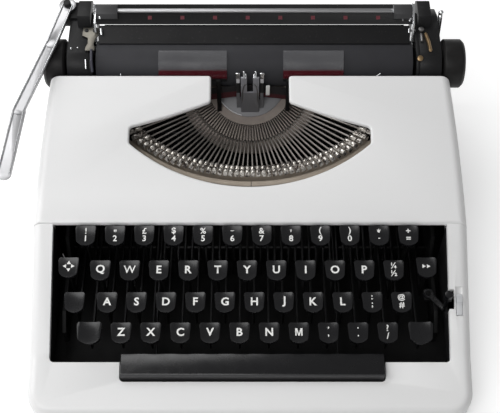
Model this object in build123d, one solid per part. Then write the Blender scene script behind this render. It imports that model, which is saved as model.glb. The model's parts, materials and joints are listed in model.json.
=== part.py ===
from build123d import *
import os
from math import asin, atan2, cos, degrees, hypot, radians, sin, sqrt, tan

os.makedirs("parts", exist_ok=True)

# A portable manual typewriter, in millimetres.
# While it is modelled, X runs to the typist's right from the machine's middle plane,
# Y runs from the front edge to the back, and Z is the height over the table.

# Case
SIDE_RAIL_WIDTH = 14.0
CASE_FRONT = 3.0
CASE_REAR = 272.0
CASE_WALL = 2.5
CASE_FRONT_RADIUS = 16.0
CASE_REAR_RADIUS = 8.0
SIDE_CURVE_RADIUS = 1300.0
REAR_FORM_LEAD = 40.0
CASE_EDGE_RADIUS = 7.0
NOSE_HEIGHT = 22.0
DECK_BEND_RADIUS = 30.0
DECK_REAR_Y = 38.5
DECK_REAR_HEIGHT = 31.0
REAR_DECK_HEIGHT = 48.0
SEAM_GAP = 0.3

# Ribbon cover
COVER_FRONT_Y = 117.9
COVER_FRONT_HEIGHT = 66.3
COVER_REAR_Y = 225.0
COVER_REAR_HEIGHT = 88.0
COVER_EDGE_RADIUS = 3.0
COVER_PIN_RADIUS = 1.0
COVER_KNUCKLE_RADIUS = 2.4
COVER_KNUCKLE_LENGTH = 7.0
SKIRT_GAP = 0.5

# Opening over the type basket
SLOT_HALF_WIDTH = 27.0
SLOT_FRONT_Y = 205.0
BASKET_HALF_WIDTH = 82.0
BASKET_REAR_Y = 186.5
BASKET_SIDE_Y = 175.0
BASKET_FRONT_Y = 144.0
BASKET_CORNER_RADIUS = 3.0
BASKET_REAR_BULGE = 1.0
OPENING_EDGE_RADIUS = 1.6

# Base pan and feet
FOOT_HEIGHT = 5.0
FOOT_RADIUS = 9.0
FOOT_INSET_X = 25.0
FOOT_INSET_Y = 24.0
PAN_THICKNESS = 2.0
PAN_INSET = 1.0
PAN_RIM_HEIGHT = 7.0
PAN_RIM_WALL = 1.6
PAN_RIM_GAP = 0.4

# Keyboard well
WELL_KEY_GAP = 4.6
WELL_CORNER_RADIUS = 3.0
WELL_WALL = 2.0
WELL_FRONT_Y = 35.2
WELL_WALL_BOTTOM = 18.0
NOTCH_MIDDLE_X = 1.6
NOTCH_SIDE_GAP = 1.0
NOTCH_FRONT_GAP = 1.8
NOTCH_WALL_BOTTOM = 14.0

# Keys
KEY_PITCH = 19.05
KEYBOARD_MIDDLE_X = -1.925
ROW_STAGGER_RATIO = (0.0, 0.5, 0.75, 1.25)
ROW_Y = (107.0, 87.8, 69.0, 50.5)
ROW_TOP = (69.5, 57.6, 49.0, 42.3)
CAP_WIDTH = 13.8
CAP_DEPTH = 13.8
CAP_HEIGHT = 6.5
CAP_TILT = 9.0
CAP_DRAFT_ANGLE = 7.0
CAP_CORNER = 2.2
DISH_RADIUS = 24.0
DISH_DEPTH = 0.9
STEM_DEPTH = 5.0

# Key levers and the shaft that they turn on
LEVER_THICKNESS = 1.2
LEVER_HEIGHT = 5.0
LEVER_FRONT_CENTRE = 25.5
LEVER_FRONT_Y = 45.0
FULCRUM_Y = 228.0
FULCRUM_Z = 16.0
FULCRUM_RADIUS = 1.5
FULCRUM_FIT = 0.05
HUB_RADIUS = 3.0
COMB_Y = 122.0
COMB_THICKNESS = 1.5
COMB_TOP = 26.0
COMB_SLOT = 2.2

# Space bar, shift keys and the other function keys
SPACE_HALF_LENGTH = 84.6
SPACE_FRONT_Y = 24.8
SPACE_REAR_Y = 39.5
SPACE_TOP = 33.3
SPACE_HEIGHT = 10.0
SPACE_ARM_LOW = 17.2
SPACE_ARM_HEIGHT = 3.6
SPACE_ARM_DIP_Y = 47.0
SPACE_ARM_RISE_Y = 66.0
SHIFT_LEFT_STEP = 20.5125
SHIFT_RIGHT_STEP = 21.2375
SHIFT_WIDTH = 16.6
SHIFT_DEPTH = 14.4
SHIFT_TUBE_Y = 205.0
SHIFT_TUBE_Z = 10.8
SHIFT_TUBE_RADIUS = 1.2
SHIFT_LUG_HALF = 2.4
SHIFT_LUG_WEB = 0.4
LOCK_STEP = 21.0875
MARGIN_RELEASE_STEP = 20.825
SIDE_KEY_RISE_Y = 2.2
BACKSPACE_STEP = 21.475

# Inner frame
FRAME_LEVER_GAP = 4.0
FRAME_PLATE_THICKNESS = 2.5
FRAME_FRONT_Y = 60.0
FRAME_LOW_TOP = 29.5
FRAME_STEP_Y = 119.0
FRAME_HIGH_TOP = 46.0
FRAME_REAR_Y = 267.0
CROSS_BAR_Y = 178.0
CROSS_BAR_DEPTH = 8.0
CROSS_BAR_HEIGHT = 3.0
REAR_OPENING_GAP = 5.5

# Type segment, on an axis that leans to the typist
SEGMENT_TILT = 30.0
SEGMENT_Y = 242.0
SEGMENT_Z = 59.5
SEGMENT_RADIUS = 52.0
SEGMENT_SLOT_RADIUS = 31.5
SEGMENT_THICKNESS = 10.0
SEGMENT_CUT = 3.0
SEGMENT_SLOT_DEPTH = 8.0
SEGMENT_SLOT_WIDTH = 1.2
FACE_PLATE_RADIUS = 25.8
FACE_PLATE_CUT = 11.0
FACE_PLATE_THICKNESS = 1.2
WIRE_RADIUS = 0.75
WIRE_DEPTH = 3.0

# Type bars
BAR_COUNT = 44
BAR_FAN_ANGLE = 64.0
BAR_PIVOT_RADIUS = 44.0
BAR_PRINT_HEIGHT = 31.0
BAR_THICKNESS = 0.8
BAR_DEPTH = 2.4
BAR_HEEL = 4.0
BAR_REST_HEIGHT = 65.6
TYPE_WIDTH = 3.0
TYPE_LENGTH = 12.0
TYPE_FACE = 2.0
TYPE_BACK = 1.4

# Rest for the type heads
REST_GAP = 0.3
REST_SHELF = 3.0
REST_SHELF_DEPTH = 6.0
REST_HEAD_DROP = 1.9
REST_BAND_GAP = 1.2
REST_LEG_HALF = 1.0
REST_BAND_WIDTH = 4.0
REST_BAND_HEIGHT = 7.5
REST_HALF_ANGLE = 46.5

# Type guide, ribbon carrier and card holders
GUIDE_HALF_WIDTH = 6.4
GUIDE_FRONT_Y = 221.8
GUIDE_THICKNESS = 1.5
GUIDE_TOP = 88.0
GUIDE_FORK_HALF_WIDTH = 2.1
GUIDE_FORK_BOTTOM = 72.0
VIBRATOR_Y = 224.0
VIBRATOR_THICKNESS = 0.9
VIBRATOR_HALF_WIDTH = 9.6
VIBRATOR_POST = 2.4
VIBRATOR_BOTTOM = 51.8
VIBRATOR_TOP = 86.0
HOLDER_THICKNESS = 1.0
HOLDER_OFFSET = 1.7
HOLDER_LEFT = (-63.6, -16.1)
HOLDER_RIGHT = (23.1, 65.0)
HOLDER_START_ANGLE = 8.0
HOLDER_END_ANGLE = 79.0
HOLDER_POST_X = (-22.0, 27.0)
HOLDER_POST_WIDTH = 3.0
HOLDER_POST_Y = (223.1, 225.2)
HOLDER_POST_TOP = 83.0
HOLDER_POST_DROP = 20.0

# Ribbon and its spools
SPOOL_PLATE_GAP = 9.0
SPOOL_Y = 180.0
SPOOL_RADIUS = 19.5
SPOOL_BOTTOM = 49.0
SPOOL_HEIGHT = 15.0
SPOOL_FLANGE = 1.0
SPOOL_PIN_RADIUS = 2.0
SPOOL_WOUND_RADIUS = 15.0
RIBBON_HEIGHT = 12.5
RIBBON_THICKNESS = 0.3
RIBBON_Y = 226.2
RIBBON_PRINT_LOW = 62.0
RIBBON_TURN_X = 72.0

# Carriage
CARRIAGE_REST_X = 3.0
RAIL_FRONT_Y = 254.0
RAIL_REAR_Y = 268.0
RAIL_HEIGHT = 8.0
RAIL_GROOVE = 1.6
SLIDE_GAP = 0.4
BED_HEIGHT = 4.0
BED_LIP = 3.9
BED_LIP_DROP = 6.4
PLATEN_SIDE_GAP = 2.5
SIDE_PLATE_THICKNESS = 2.5
END_COVER_WIDTH = 15.0
END_COVER_HIGH_WIDTH = 9.0

# Platen and its knobs
PLATEN_Y = 243.4
PLATEN_Z = 78.0
PLATEN_RADIUS = 16.0
PLATEN_HALF_LENGTH = 110.5
PLATEN_SHAFT_RADIUS = 4.0
PLATEN_FIT = 0.05
KNOB_GAP = 1.5
KNOB_WIDTH = 16.0
KNOB_RADIUS = 17.2

# Paper table, paper bail and paper release
TABLE_SIDE_GAP = 4.0
TABLE_SHEET = 1.2
TABLE_LIP = (248.2, 94.2)
TABLE_TOP = (259.5, 98.9)
TABLE_FOLD = (262.8, 92.0)
TABLE_FOOT = (264.5, 61.1)
PAN_ARC_RADIUS = 17.0
BAIL_PIVOT = (255.6, 84.9)
BAIL_NEAR = (260.5, 101.0)
BAIL_FAR = (272.0, 107.0)
BAIL_SHEET = 1.4
BAIL_ROD_RADIUS = 1.6
BAIL_SIDE_GAP = 0.8
BAIL_ARM_THICKNESS = 1.2
BAIL_PIN_RADIUS = 1.5
RELEASE_THICKNESS = 2.2
RELEASE_PIN_RADIUS = 2.0
RELEASE_PIVOT = (267.0, 78.0)
RELEASE_TIP = (270.5, 101.0)

# Carriage return lever
LEVER_PIVOT_GAP = 2.5
LEVER_PIVOT_Y = 280.0
LEVER_PIN_RADIUS = 2.5
LEVER_BRACKET_TOP = 96.0
LEVER_STRIP_WIDTH = 8.0
LEVER_STRIP_THICKNESS = 1.8
LEVER_RUN = ((-7.5, -36.7, 2.0), (-26.5, -86.0, -9.5), (-32.5, -132.0, -18.0))
LEVER_GRIP_WIDTH = 9.5

# Ribbon selector in the well, and the slide switch on the right rail
SELECTOR_PLATE_GAP = 3.0
SELECTOR_PIVOT_Y = 84.0
SELECTOR_WELL_GAP = 1.1
SELECTOR_KNOB_Y = 72.5
SELECTOR_NOTCH_DEPTH = 3.4
SELECTOR_NOTCH_HALF = 5.8
SELECTOR_ARM_Z = 30.6
SELECTOR_KNOB_TOP = 53.0
SELECTOR_HUB_RADIUS = 3.5
SELECTOR_PIN_RADIUS = 1.5
SWITCH_SIDE_INSET = 7.5
SWITCH_Y = 71.2
SWITCH_LENGTH = 18.4
SWITCH_WIDTH = 3.9
SWITCH_DEPTH = 2.0

ROW_KEYS = ("qwertyuiop", "asdfghjkl", "zxcvbnm")
ROW_SIZE = (12, 11, 11, 10)

# Places that follow from the keyboard's pitch, from one side to the other
row_start_x = [
    KEYBOARD_MIDDLE_X + (share - (ROW_SIZE[0] - 1) / 2) * KEY_PITCH for share in ROW_STAGGER_RATIO]
row_end_x = [start + (size - 1) * KEY_PITCH for start, size in zip(row_start_x, ROW_SIZE)]
margin_release_x = row_start_x[1] - MARGIN_RELEASE_STEP
backspace_x = row_end_x[1] + BACKSPACE_STEP
lock_x = row_start_x[2] - LOCK_STEP
shift_left_x = row_start_x[3] - SHIFT_LEFT_STEP
shift_right_x = row_end_x[3] + SHIFT_RIGHT_STEP
well_half = CAP_WIDTH / 2 - margin_release_x + WELL_KEY_GAP
case_half = well_half + SIDE_RAIL_WIDTH
notch_half = SPACE_HALF_LENGTH + NOTCH_SIDE_GAP
notch_front_y = SPACE_FRONT_Y - NOTCH_FRONT_GAP
frame_plate_x = FRAME_LEVER_GAP - margin_release_x
frame_end_x = frame_plate_x + FRAME_PLATE_THICKNESS
spool_x = frame_plate_x - SPOOL_PLATE_GAP
selector_pivot_x = frame_plate_x - SELECTOR_PLATE_GAP
selector_knob_x = well_half - SELECTOR_WELL_GAP

# Places along the carriage, from the platen's end outwards
side_plate_x = PLATEN_HALF_LENGTH + PLATEN_SIDE_GAP
cover_start_x = side_plate_x + SIDE_PLATE_THICKNESS
cover_end_x = cover_start_x + END_COVER_WIDTH
knob_start_x = cover_end_x + KNOB_GAP
knob_end_x = knob_start_x + KNOB_WIDTH
lever_pivot_x = -cover_end_x - LEVER_PIVOT_GAP
table_half = side_plate_x - TABLE_SIDE_GAP
bail_arm_x = side_plate_x - BAIL_SIDE_GAP - BAIL_ARM_THICKNESS

nodes = {}


def keep(name, *solids):
    """Collect the solids of one named node."""
    nodes[name] = nodes.get(name, []) + list(solids)


def block(x0, x1, y0, y1, z0, z1):
    """Box between two corners."""
    return Pos((x0 + x1) / 2, (y0 + y1) / 2, (z0 + z1) / 2) * Box(x1 - x0, y1 - y0, z1 - z0)


def profile_yz(points, x0, x1):
    """Closed polygon of (y, z) points, carried from x0 to x1."""
    face = make_face(Polyline(*points, close=True))
    return Pos(x0, 0, 0) * extrude(Plane.YZ * face, amount=x1 - x0)


def rod_x(radius, x0, x1, y, z):
    """Round bar along X."""
    return Pos((x0 + x1) / 2, y, z) * Rot(0, 90, 0) * Cylinder(radius, x1 - x0)


def rod_z(radius, x, y, z0, z1):
    """Round bar along Z."""
    return Pos(x, y, (z0 + z1) / 2) * Cylinder(radius, z1 - z0)


def mirrored(solid):
    return mirror(solid, about=Plane.YZ)


# Heights of the case's outside along the machine
cover_slope = (COVER_REAR_HEIGHT - COVER_FRONT_HEIGHT) / (COVER_REAR_Y - COVER_FRONT_Y)
side_curve_start_y = COVER_FRONT_Y
pan_top = FOOT_HEIGHT + PAN_THICKNESS


def side_x(y, inset):
    """Half the case's width at a place along it: the sides draw in towards the rear."""
    curve_radius = SIDE_CURVE_RADIUS - inset
    past = max(0.0, y - side_curve_start_y)
    return case_half - inset - curve_radius + sqrt(curve_radius ** 2 - past ** 2)


def plan_face(inset, curved=True):
    """Plan outline of the case, drawn in by the inset; its sides are straight or draw in to the rear."""
    half = case_half - inset
    front = CASE_FRONT + inset
    rear = CASE_REAR - inset
    start = side_curve_start_y
    middle = (start + rear) / 2
    middle_half = side_x(middle, inset)
    rear_half = side_x(rear, inset)
    if not curved:
        outline = Polyline((-half, front), (half, front), (half, rear), (-half, rear), close=True)
        return fillet(make_face(outline).vertices().sort_by(Axis.Y)[:2], CASE_FRONT_RADIUS - inset)
    face = make_face([
        Line((-half, front), (half, front)),
        Line((half, front), (half, start)),
        ThreePointArc((half, start), (middle_half, middle), (rear_half, rear)),
        Line((rear_half, rear), (-rear_half, rear)),
        ThreePointArc((-rear_half, rear), (-middle_half, middle), (-half, start)),
        Line((-half, start), (-half, front))])
    ends = face.vertices().sort_by(Axis.Y)
    face = fillet(ends[:2], CASE_FRONT_RADIUS - inset)
    return fillet(face.vertices().sort_by(Axis.Y)[-2:], CASE_REAR_RADIUS - inset)


def inset_polygon(points, insets):
    """Polygon whose sides are drawn in by their own insets; the points run anticlockwise."""
    moved = []
    for (ay, az), (by, bz), inset in zip(points, points[1:] + points[:1], insets):
        length = hypot(by - ay, bz - az)
        uy, uz = (by - ay) / length, (bz - az) / length
        moved.append((ay - uz * inset, az + uy * inset, uy, uz))
    corners = []
    for (py, pz, uy, uz), (qy, qz, vy, vz) in zip(moved[-1:] + moved[:-1], moved):
        share = ((qy - py) * vz - (qz - pz) * vy) / (uy * vz - uz * vy)
        corners.append((py + share * uy, pz + share * uz))
    return corners


def case_body(inset, edge_radius):
    """Outer body of case and ribbon cover together, drawn in by the inset."""
    seam = COVER_FRONT_Y - SEAM_GAP / 2
    front = case_form(inset, edge_radius, False) & block(-300, 300, -10, seam, 0, 200)
    rear = case_form(inset, edge_radius, True) & block(-300, 300, seam, 300, 0, 200)
    return front + rear


def case_form(inset, edge_radius, curved):
    """The case's body with straight sides, for its front part, or curved ones, for its rear part."""
    open_rear = -1.0 if inset else 0.0
    rear_points = [
        (CASE_REAR, -20.0),
        (CASE_REAR, REAR_DECK_HEIGHT),
        (COVER_REAR_Y, REAR_DECK_HEIGHT),
        (COVER_REAR_Y, COVER_REAR_HEIGHT),
    ]
    rear_insets = [inset, inset, open_rear, inset]
    if curved:
        start_y = COVER_FRONT_Y - REAR_FORM_LEAD
        start_z = COVER_FRONT_HEIGHT - REAR_FORM_LEAD * cover_slope
        corners = inset_polygon(
            [(start_y, -20.0)] + rear_points + [(start_y, start_z)], [0.0] + rear_insets + [0.0])
        side = make_face(Polyline(*corners, close=True))
    else:
        front_points = [
            (COVER_FRONT_Y, COVER_FRONT_HEIGHT),
            (DECK_REAR_Y, DECK_REAR_HEIGHT),
            (CASE_FRONT, NOSE_HEIGHT),
        ]
        corners = inset_polygon(
            [(CASE_FRONT, -20.0)] + rear_points + front_points, [0.0] + rear_insets + [inset] * 3)
        side = make_face(Polyline(*corners, close=True))
        bend = [v for v in side.vertices() if abs(v.X - DECK_REAR_Y) < 3 and v.Y > 0]
        side = fillet(bend, DECK_BEND_RADIUS)
    side_solid = Pos(-case_half, 0, 0) * extrude(Plane.YZ * side, amount=2 * case_half)
    body = side_solid & (Pos(0, 0, -30) * extrude(plan_face(inset, curved), amount=COVER_REAR_HEIGHT + 40))
    rim_start = COVER_FRONT_Y if curved else CASE_FRONT - 1
    rim = [e for e in body.edges() if is_top_rim(e, inset, curved) and (e @ 0.5).Y > rim_start]
    body = fillet(rim, edge_radius)
    return body & block(-200, 200, -10, 300, pan_top - (1.0 if inset else 0.0), 200)


def is_top_rim(edge, inset, curved):
    """True for the edges between the case's front or sides and its top, ahead of the carriage."""
    middle = edge @ 0.5
    half = case_half - inset
    front = CASE_FRONT + inset
    in_corner = middle.Y < front + CASE_FRONT_RADIUS and abs(middle.X) > half - CASE_FRONT_RADIUS
    on_side = abs(abs(middle.X) - (side_x(middle.Y, inset) if curved else half)) < 0.05
    outside = on_side or abs(middle.Y - front) < 0.01 or in_corner
    level = abs((edge % 0.5).Z) < 0.9 and middle.Z > NOSE_HEIGHT - inset - 2
    return outside and level and middle.Y < COVER_REAR_Y + 0.5


def well_face(grow):
    """Plan of the keyboard well with its notch for the space bar."""
    half = well_half + grow
    notch = notch_half + grow
    front = WELL_FRONT_Y - grow
    rear = COVER_FRONT_Y + 1.0
    off = NOTCH_MIDDLE_X
    face = make_face(Polyline(
        (-half, rear), (-half, front), (off - notch, front), (off - notch, notch_front_y - grow),
        (off + notch, notch_front_y - grow), (off + notch, front), (half, front), (half, rear), close=True))
    corners = [v for v in face.vertices() if v.Y < front + 1 and (v.Y < front - 1 or abs(v.X) > half - 1)]
    return fillet(corners, WELL_CORNER_RADIUS + grow)


def basket_face():
    """Plan of the cover's opening over the type basket and the printing point."""
    half = BASKET_HALF_WIDTH
    rear = COVER_REAR_Y + 2.0
    mid_x = (SLOT_HALF_WIDTH + half) / 2
    mid_y = (SLOT_FRONT_Y + BASKET_REAR_Y) / 2 - BASKET_REAR_BULGE
    lines = [
        Line((-SLOT_HALF_WIDTH, rear), (-SLOT_HALF_WIDTH, SLOT_FRONT_Y)),
        ThreePointArc((-SLOT_HALF_WIDTH, SLOT_FRONT_Y), (-mid_x, mid_y), (-half, BASKET_REAR_Y)),
        Line((-half, BASKET_REAR_Y), (-half, BASKET_SIDE_Y)),
        ThreePointArc((-half, BASKET_SIDE_Y), (0, BASKET_FRONT_Y), (half, BASKET_SIDE_Y)),
        Line((half, BASKET_SIDE_Y), (half, BASKET_REAR_Y)),
        ThreePointArc((half, BASKET_REAR_Y), (mid_x, mid_y), (SLOT_HALF_WIDTH, SLOT_FRONT_Y)),
        Line((SLOT_HALF_WIDTH, SLOT_FRONT_Y), (SLOT_HALF_WIDTH, rear)),
        Line((SLOT_HALF_WIDTH, rear), (-SLOT_HALF_WIDTH, rear)),
    ]
    face = make_face(lines)
    corners = [v for v in face.vertices() if v.Y < rear - 1]
    return fillet(corners, BASKET_CORNER_RADIUS)


def on_cover_top(edge):
    """True for an edge in the cover's sloping top face."""
    return all(
        abs((edge @ share).Z - COVER_FRONT_HEIGHT - cover_slope * ((edge @ share).Y - COVER_FRONT_Y)) < 0.02
        for share in (0.0, 0.5, 1.0))


def is_inside_rim(edge):
    """True for an edge round the opening, ahead of the cover's rear wall."""
    middle = edge @ 0.5
    ahead = BASKET_FRONT_Y - 1 < middle.Y < COVER_REAR_Y - 0.5
    return ahead and abs(middle.X) < BASKET_HALF_WIDTH + 1


# Case shell, then its two pieces
outer = case_body(0.0, CASE_EDGE_RADIUS)
inner = case_body(CASE_WALL, CASE_EDGE_RADIUS - CASE_WALL)
shell = outer - inner

hinge_y = COVER_FRONT_Y + COVER_EDGE_RADIUS
hinge_z = COVER_FRONT_HEIGHT + cover_slope * COVER_EDGE_RADIUS - COVER_EDGE_RADIUS
skirt_bottom = REAR_DECK_HEIGHT + SKIRT_GAP
wide = case_half + 5
high = COVER_REAR_HEIGHT + 20

cover_zone = block(-wide, wide, hinge_y, COVER_REAR_Y, skirt_bottom, high)
cover_zone += block(-wide, wide, COVER_FRONT_Y, hinge_y, skirt_bottom, hinge_z)
cover_zone += rod_x(COVER_EDGE_RADIUS, -wide, wide, hinge_y, hinge_z)
case_zone = block(-wide, wide, 0, COVER_FRONT_Y - SEAM_GAP, 0, high)
case_zone += block(-wide, wide, 0, CASE_REAR + 1, 0, REAR_DECK_HEIGHT)

# Top case: surround of the keyboard, sides and rear wall
well = extrude(well_face(0.0), amount=high)
well_back = block(-well_half, well_half, COVER_FRONT_Y - 8, COVER_FRONT_Y + 4, 0, high)
tub = extrude(well_face(WELL_WALL), amount=high) - well - well_back
tub = tub & outer & block(-wide, wide, 0, COVER_FRONT_Y - SEAM_GAP, NOTCH_WALL_BOTTOM, high)
tub -= block(-wide, wide, WELL_FRONT_Y - WELL_WALL, wide, 0, WELL_WALL_BOTTOM)
top_case = (shell & case_zone) + tub - well
rear_opening = frame_end_x + REAR_OPENING_GAP
top_case -= block(-rear_opening, rear_opening, COVER_REAR_Y - 1, CASE_REAR - CASE_WALL - 1,
                  pan_top + 12, high)
ear_x0 = well_half
ear_x1 = well_half + WELL_WALL
ear_radius = COVER_KNUCKLE_RADIUS - 0.6
ear = rod_x(ear_radius, ear_x0, ear_x1, hinge_y, hinge_z)
ear += profile_yz(
    ((COVER_FRONT_Y - 4, hinge_z - 13), (hinge_y + ear_radius, hinge_z - 4.5),
     (hinge_y + ear_radius, hinge_z),
     (hinge_y - 1.1, hinge_z), (hinge_y - 1.1, hinge_z - 3.5), (COVER_FRONT_Y - 4, hinge_z - 4.0)),
    ear_x0, ear_x1)
ear += rod_x(COVER_PIN_RADIUS, ear_x0 - COVER_KNUCKLE_LENGTH + 1, ear_x1, hinge_y, hinge_z)
for piece in (ear, mirrored(ear)):
    top_case += piece
keep("top_case", top_case)

# Ribbon cover with its knuckles at the front
ribbon_cover = shell & cover_zone
ribbon_cover -= extrude(basket_face(), amount=high)
slot_ends = [
    e for e in ribbon_cover.edges().filter_by(Axis.Z)
    if abs(abs((e @ 0.5).X) - SLOT_HALF_WIDTH) < 0.1 and abs((e @ 0.5).Y - COVER_REAR_Y) < 0.1]
ribbon_cover = fillet(slot_ends, CASE_WALL - 0.5)
opening_rim = [e for e in ribbon_cover.edges() if on_cover_top(e) and is_inside_rim(e)]
ribbon_cover = fillet(opening_rim, OPENING_EDGE_RADIUS)
ear_room = rod_x(ear_radius + SEAM_GAP, ear_x0 - SEAM_GAP, ear_x1 + SEAM_GAP, hinge_y, hinge_z)
knuckle = rod_x(
    COVER_KNUCKLE_RADIUS, ear_x0 - SEAM_GAP - COVER_KNUCKLE_LENGTH, ear_x0 - SEAM_GAP, hinge_y, hinge_z)
pin_room = rod_x(
    COVER_PIN_RADIUS + 0.05, ear_x0 - COVER_KNUCKLE_LENGTH, ear_x0, hinge_y, hinge_z)
ribbon_cover += knuckle
ribbon_cover += mirrored(knuckle)
for room in (ear_room, pin_room):
    ribbon_cover -= room
    ribbon_cover -= mirrored(room)
keep("ribbon_cover", ribbon_cover)

# Base pan, with a rim that stands inside the case
lower_case = Pos(0, 0, FOOT_HEIGHT) * extrude(plan_face(PAN_INSET), amount=PAN_THICKNESS)
rim_inset = CASE_WALL + PAN_RIM_GAP
rim = extrude(plan_face(rim_inset), amount=PAN_RIM_HEIGHT)
rim -= extrude(plan_face(rim_inset + PAN_RIM_WALL), amount=PAN_RIM_HEIGHT)
keep("lower_case", lower_case + Pos(0, 0, pan_top) * rim)

foot_x = case_half - FOOT_INSET_X
for x in (-foot_x, foot_x):
    for y in (CASE_FRONT + FOOT_INSET_Y, CASE_REAR - FOOT_INSET_Y):
        keep("rubber_feet", Pos(x, y, 0) * extrude(Circle(FOOT_RADIUS), amount=FOOT_HEIGHT, taper=8))

# Inner frame: two side plates, a cross bar under the levers and the segment's bridge
plate_points = (
    (FRAME_FRONT_Y, pan_top), (FRAME_FRONT_Y, FRAME_LOW_TOP - 8), (FRAME_FRONT_Y + 12, FRAME_LOW_TOP),
    (FRAME_STEP_Y - 6, FRAME_LOW_TOP), (FRAME_STEP_Y, FRAME_HIGH_TOP), (RAIL_FRONT_Y - 6, FRAME_HIGH_TOP),
    (RAIL_FRONT_Y - 4, REAR_DECK_HEIGHT), (FRAME_REAR_Y, REAR_DECK_HEIGHT), (FRAME_REAR_Y, pan_top))
side_plate = profile_yz(plate_points, frame_plate_x, frame_end_x)
window_outline = ((135, 24), (150, 38), (205, 38), (214, 26), (205, 24))
window = profile_yz(window_outline, frame_plate_x - 1, frame_end_x + 1)
side_plate -= window
side_plate -= rod_x(FULCRUM_RADIUS, frame_plate_x - 1, frame_end_x + 1, FULCRUM_Y, FULCRUM_Z)
main_frame = side_plate + mirrored(side_plate)
main_frame += block(-frame_plate_x, frame_plate_x, CROSS_BAR_Y, CROSS_BAR_Y + CROSS_BAR_DEPTH,
                    pan_top, pan_top + CROSS_BAR_HEIGHT)

# The segment's own frame: X across, local Y away from the typist, local Z along the axis
segment_plane = Plane(
    origin=(0, SEGMENT_Y, SEGMENT_Z), x_dir=(1, 0, 0),
    z_dir=(0, -sin(radians(SEGMENT_TILT)), cos(radians(SEGMENT_TILT))))


def on_segment(shape):
    """Carry a shape from the segment's own frame into the machine."""
    return segment_plane.location * shape


bridge_front = SEGMENT_Y - 8
bridge = block(-frame_plate_x, frame_plate_x, bridge_front, SEGMENT_Y + 6, 30, 35)
for x in (-38.0, 38.0):
    post = on_segment(block(x - 4, x + 4, -12, -SEGMENT_CUT - 1, -SEGMENT_THICKNESS - 14, -SEGMENT_THICKNESS))
    bridge += post & block(-60, 60, 200, 260, 34, 60)
main_frame += bridge
for side in (-1, 1):
    shelf = block(spool_x - 12, frame_plate_x + 0.5, SPOOL_Y - 12, SPOOL_Y + 12,
                  FRAME_HIGH_TOP, FRAME_HIGH_TOP + 2)
    shelf += rod_z(SPOOL_PIN_RADIUS, spool_x, SPOOL_Y, FRAME_HIGH_TOP + 2, SPOOL_BOTTOM + SPOOL_HEIGHT + 1)
    main_frame += shelf if side > 0 else mirrored(shelf)
lug_top = SELECTOR_ARM_Z - REST_GAP
lug = block(selector_pivot_x - 2.8, frame_plate_x + 0.5, SELECTOR_PIVOT_Y - 4, SELECTOR_PIVOT_Y + 4,
            FRAME_LOW_TOP - 1.2, lug_top)
main_frame += lug
main_frame += rod_z(SELECTOR_PIN_RADIUS, selector_pivot_x, SELECTOR_PIVOT_Y, FRAME_LOW_TOP, lug_top + 2.6)
keep("main_frame", main_frame)

# Type segment: a slotted half ring that the bars fan out from
fan_step = 2 * BAR_FAN_ANGLE / (BAR_COUNT - 1)
bar_angles = [-BAR_FAN_ANGLE + i * fan_step for i in range(BAR_COUNT)]
live_bar = BAR_COUNT // 2
ring = Pos(0, 0, -SEGMENT_THICKNESS) * extrude(Circle(SEGMENT_RADIUS), amount=SEGMENT_THICKNESS)
ring &= block(-60, 60, -60, -SEGMENT_CUT, -20, 20)
slot_length = SEGMENT_RADIUS - SEGMENT_SLOT_RADIUS + 4
slot_middle = SEGMENT_SLOT_RADIUS + slot_length / 2
slots = []
for angle in bar_angles:
    slot = Pos(0, -slot_middle, -SEGMENT_SLOT_DEPTH / 2) * Box(
        SEGMENT_SLOT_WIDTH, slot_length, SEGMENT_SLOT_DEPTH)
    slots.append(Rot(0, 0, angle) * slot)
groove = Pos(0, 0, -WIRE_DEPTH - WIRE_RADIUS) * (
    extrude(Circle(BAR_PIVOT_RADIUS + WIRE_RADIUS + 0.1), amount=WIRE_DEPTH + WIRE_RADIUS)
    - extrude(Circle(BAR_PIVOT_RADIUS - WIRE_RADIUS - 0.1), amount=WIRE_DEPTH + WIRE_RADIUS))
ring = ring - slots - groove
keep("type_segment", on_segment(ring))

wire_span = BAR_FAN_ANGLE + 6
wire_arc = CenterArc((0, 0), BAR_PIVOT_RADIUS, 0, 2 * wire_span)
wire_path = Pos(0, 0, -WIRE_DEPTH) * Rot(0, 0, -90 - wire_span) * wire_arc
wire_end = Plane(origin=wire_path @ 0, z_dir=wire_path % 0)
wire = sweep(wire_end * RegularPolygon(WIRE_RADIUS, 8), path=wire_path)
keep("type_segment", on_segment(wire))

face_plate = extrude(Circle(FACE_PLATE_RADIUS), amount=FACE_PLATE_THICKNESS)
face_plate &= block(-60, 60, -60, -FACE_PLATE_CUT, -1, 5)
keep("segment_plate", on_segment(face_plate))

# Type bars: each lies in its own radial plane and rests with its head at one height
bar_length = hypot(BAR_PIVOT_RADIUS, BAR_PRINT_HEIGHT + WIRE_DEPTH)


def rest_angle(angle):
    """Angle of a resting bar over the segment's face, for its place in the fan."""
    lean = radians(SEGMENT_TILT)
    rise = bar_length * cos(lean)
    fall = bar_length * sin(lean) * cos(radians(angle))
    level = BAR_REST_HEIGHT - SEGMENT_Z + WIRE_DEPTH * cos(lean)
    level += BAR_PIVOT_RADIUS * sin(lean) * cos(radians(angle))
    return degrees(asin(level / hypot(rise, fall)) + atan2(fall, rise))


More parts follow.
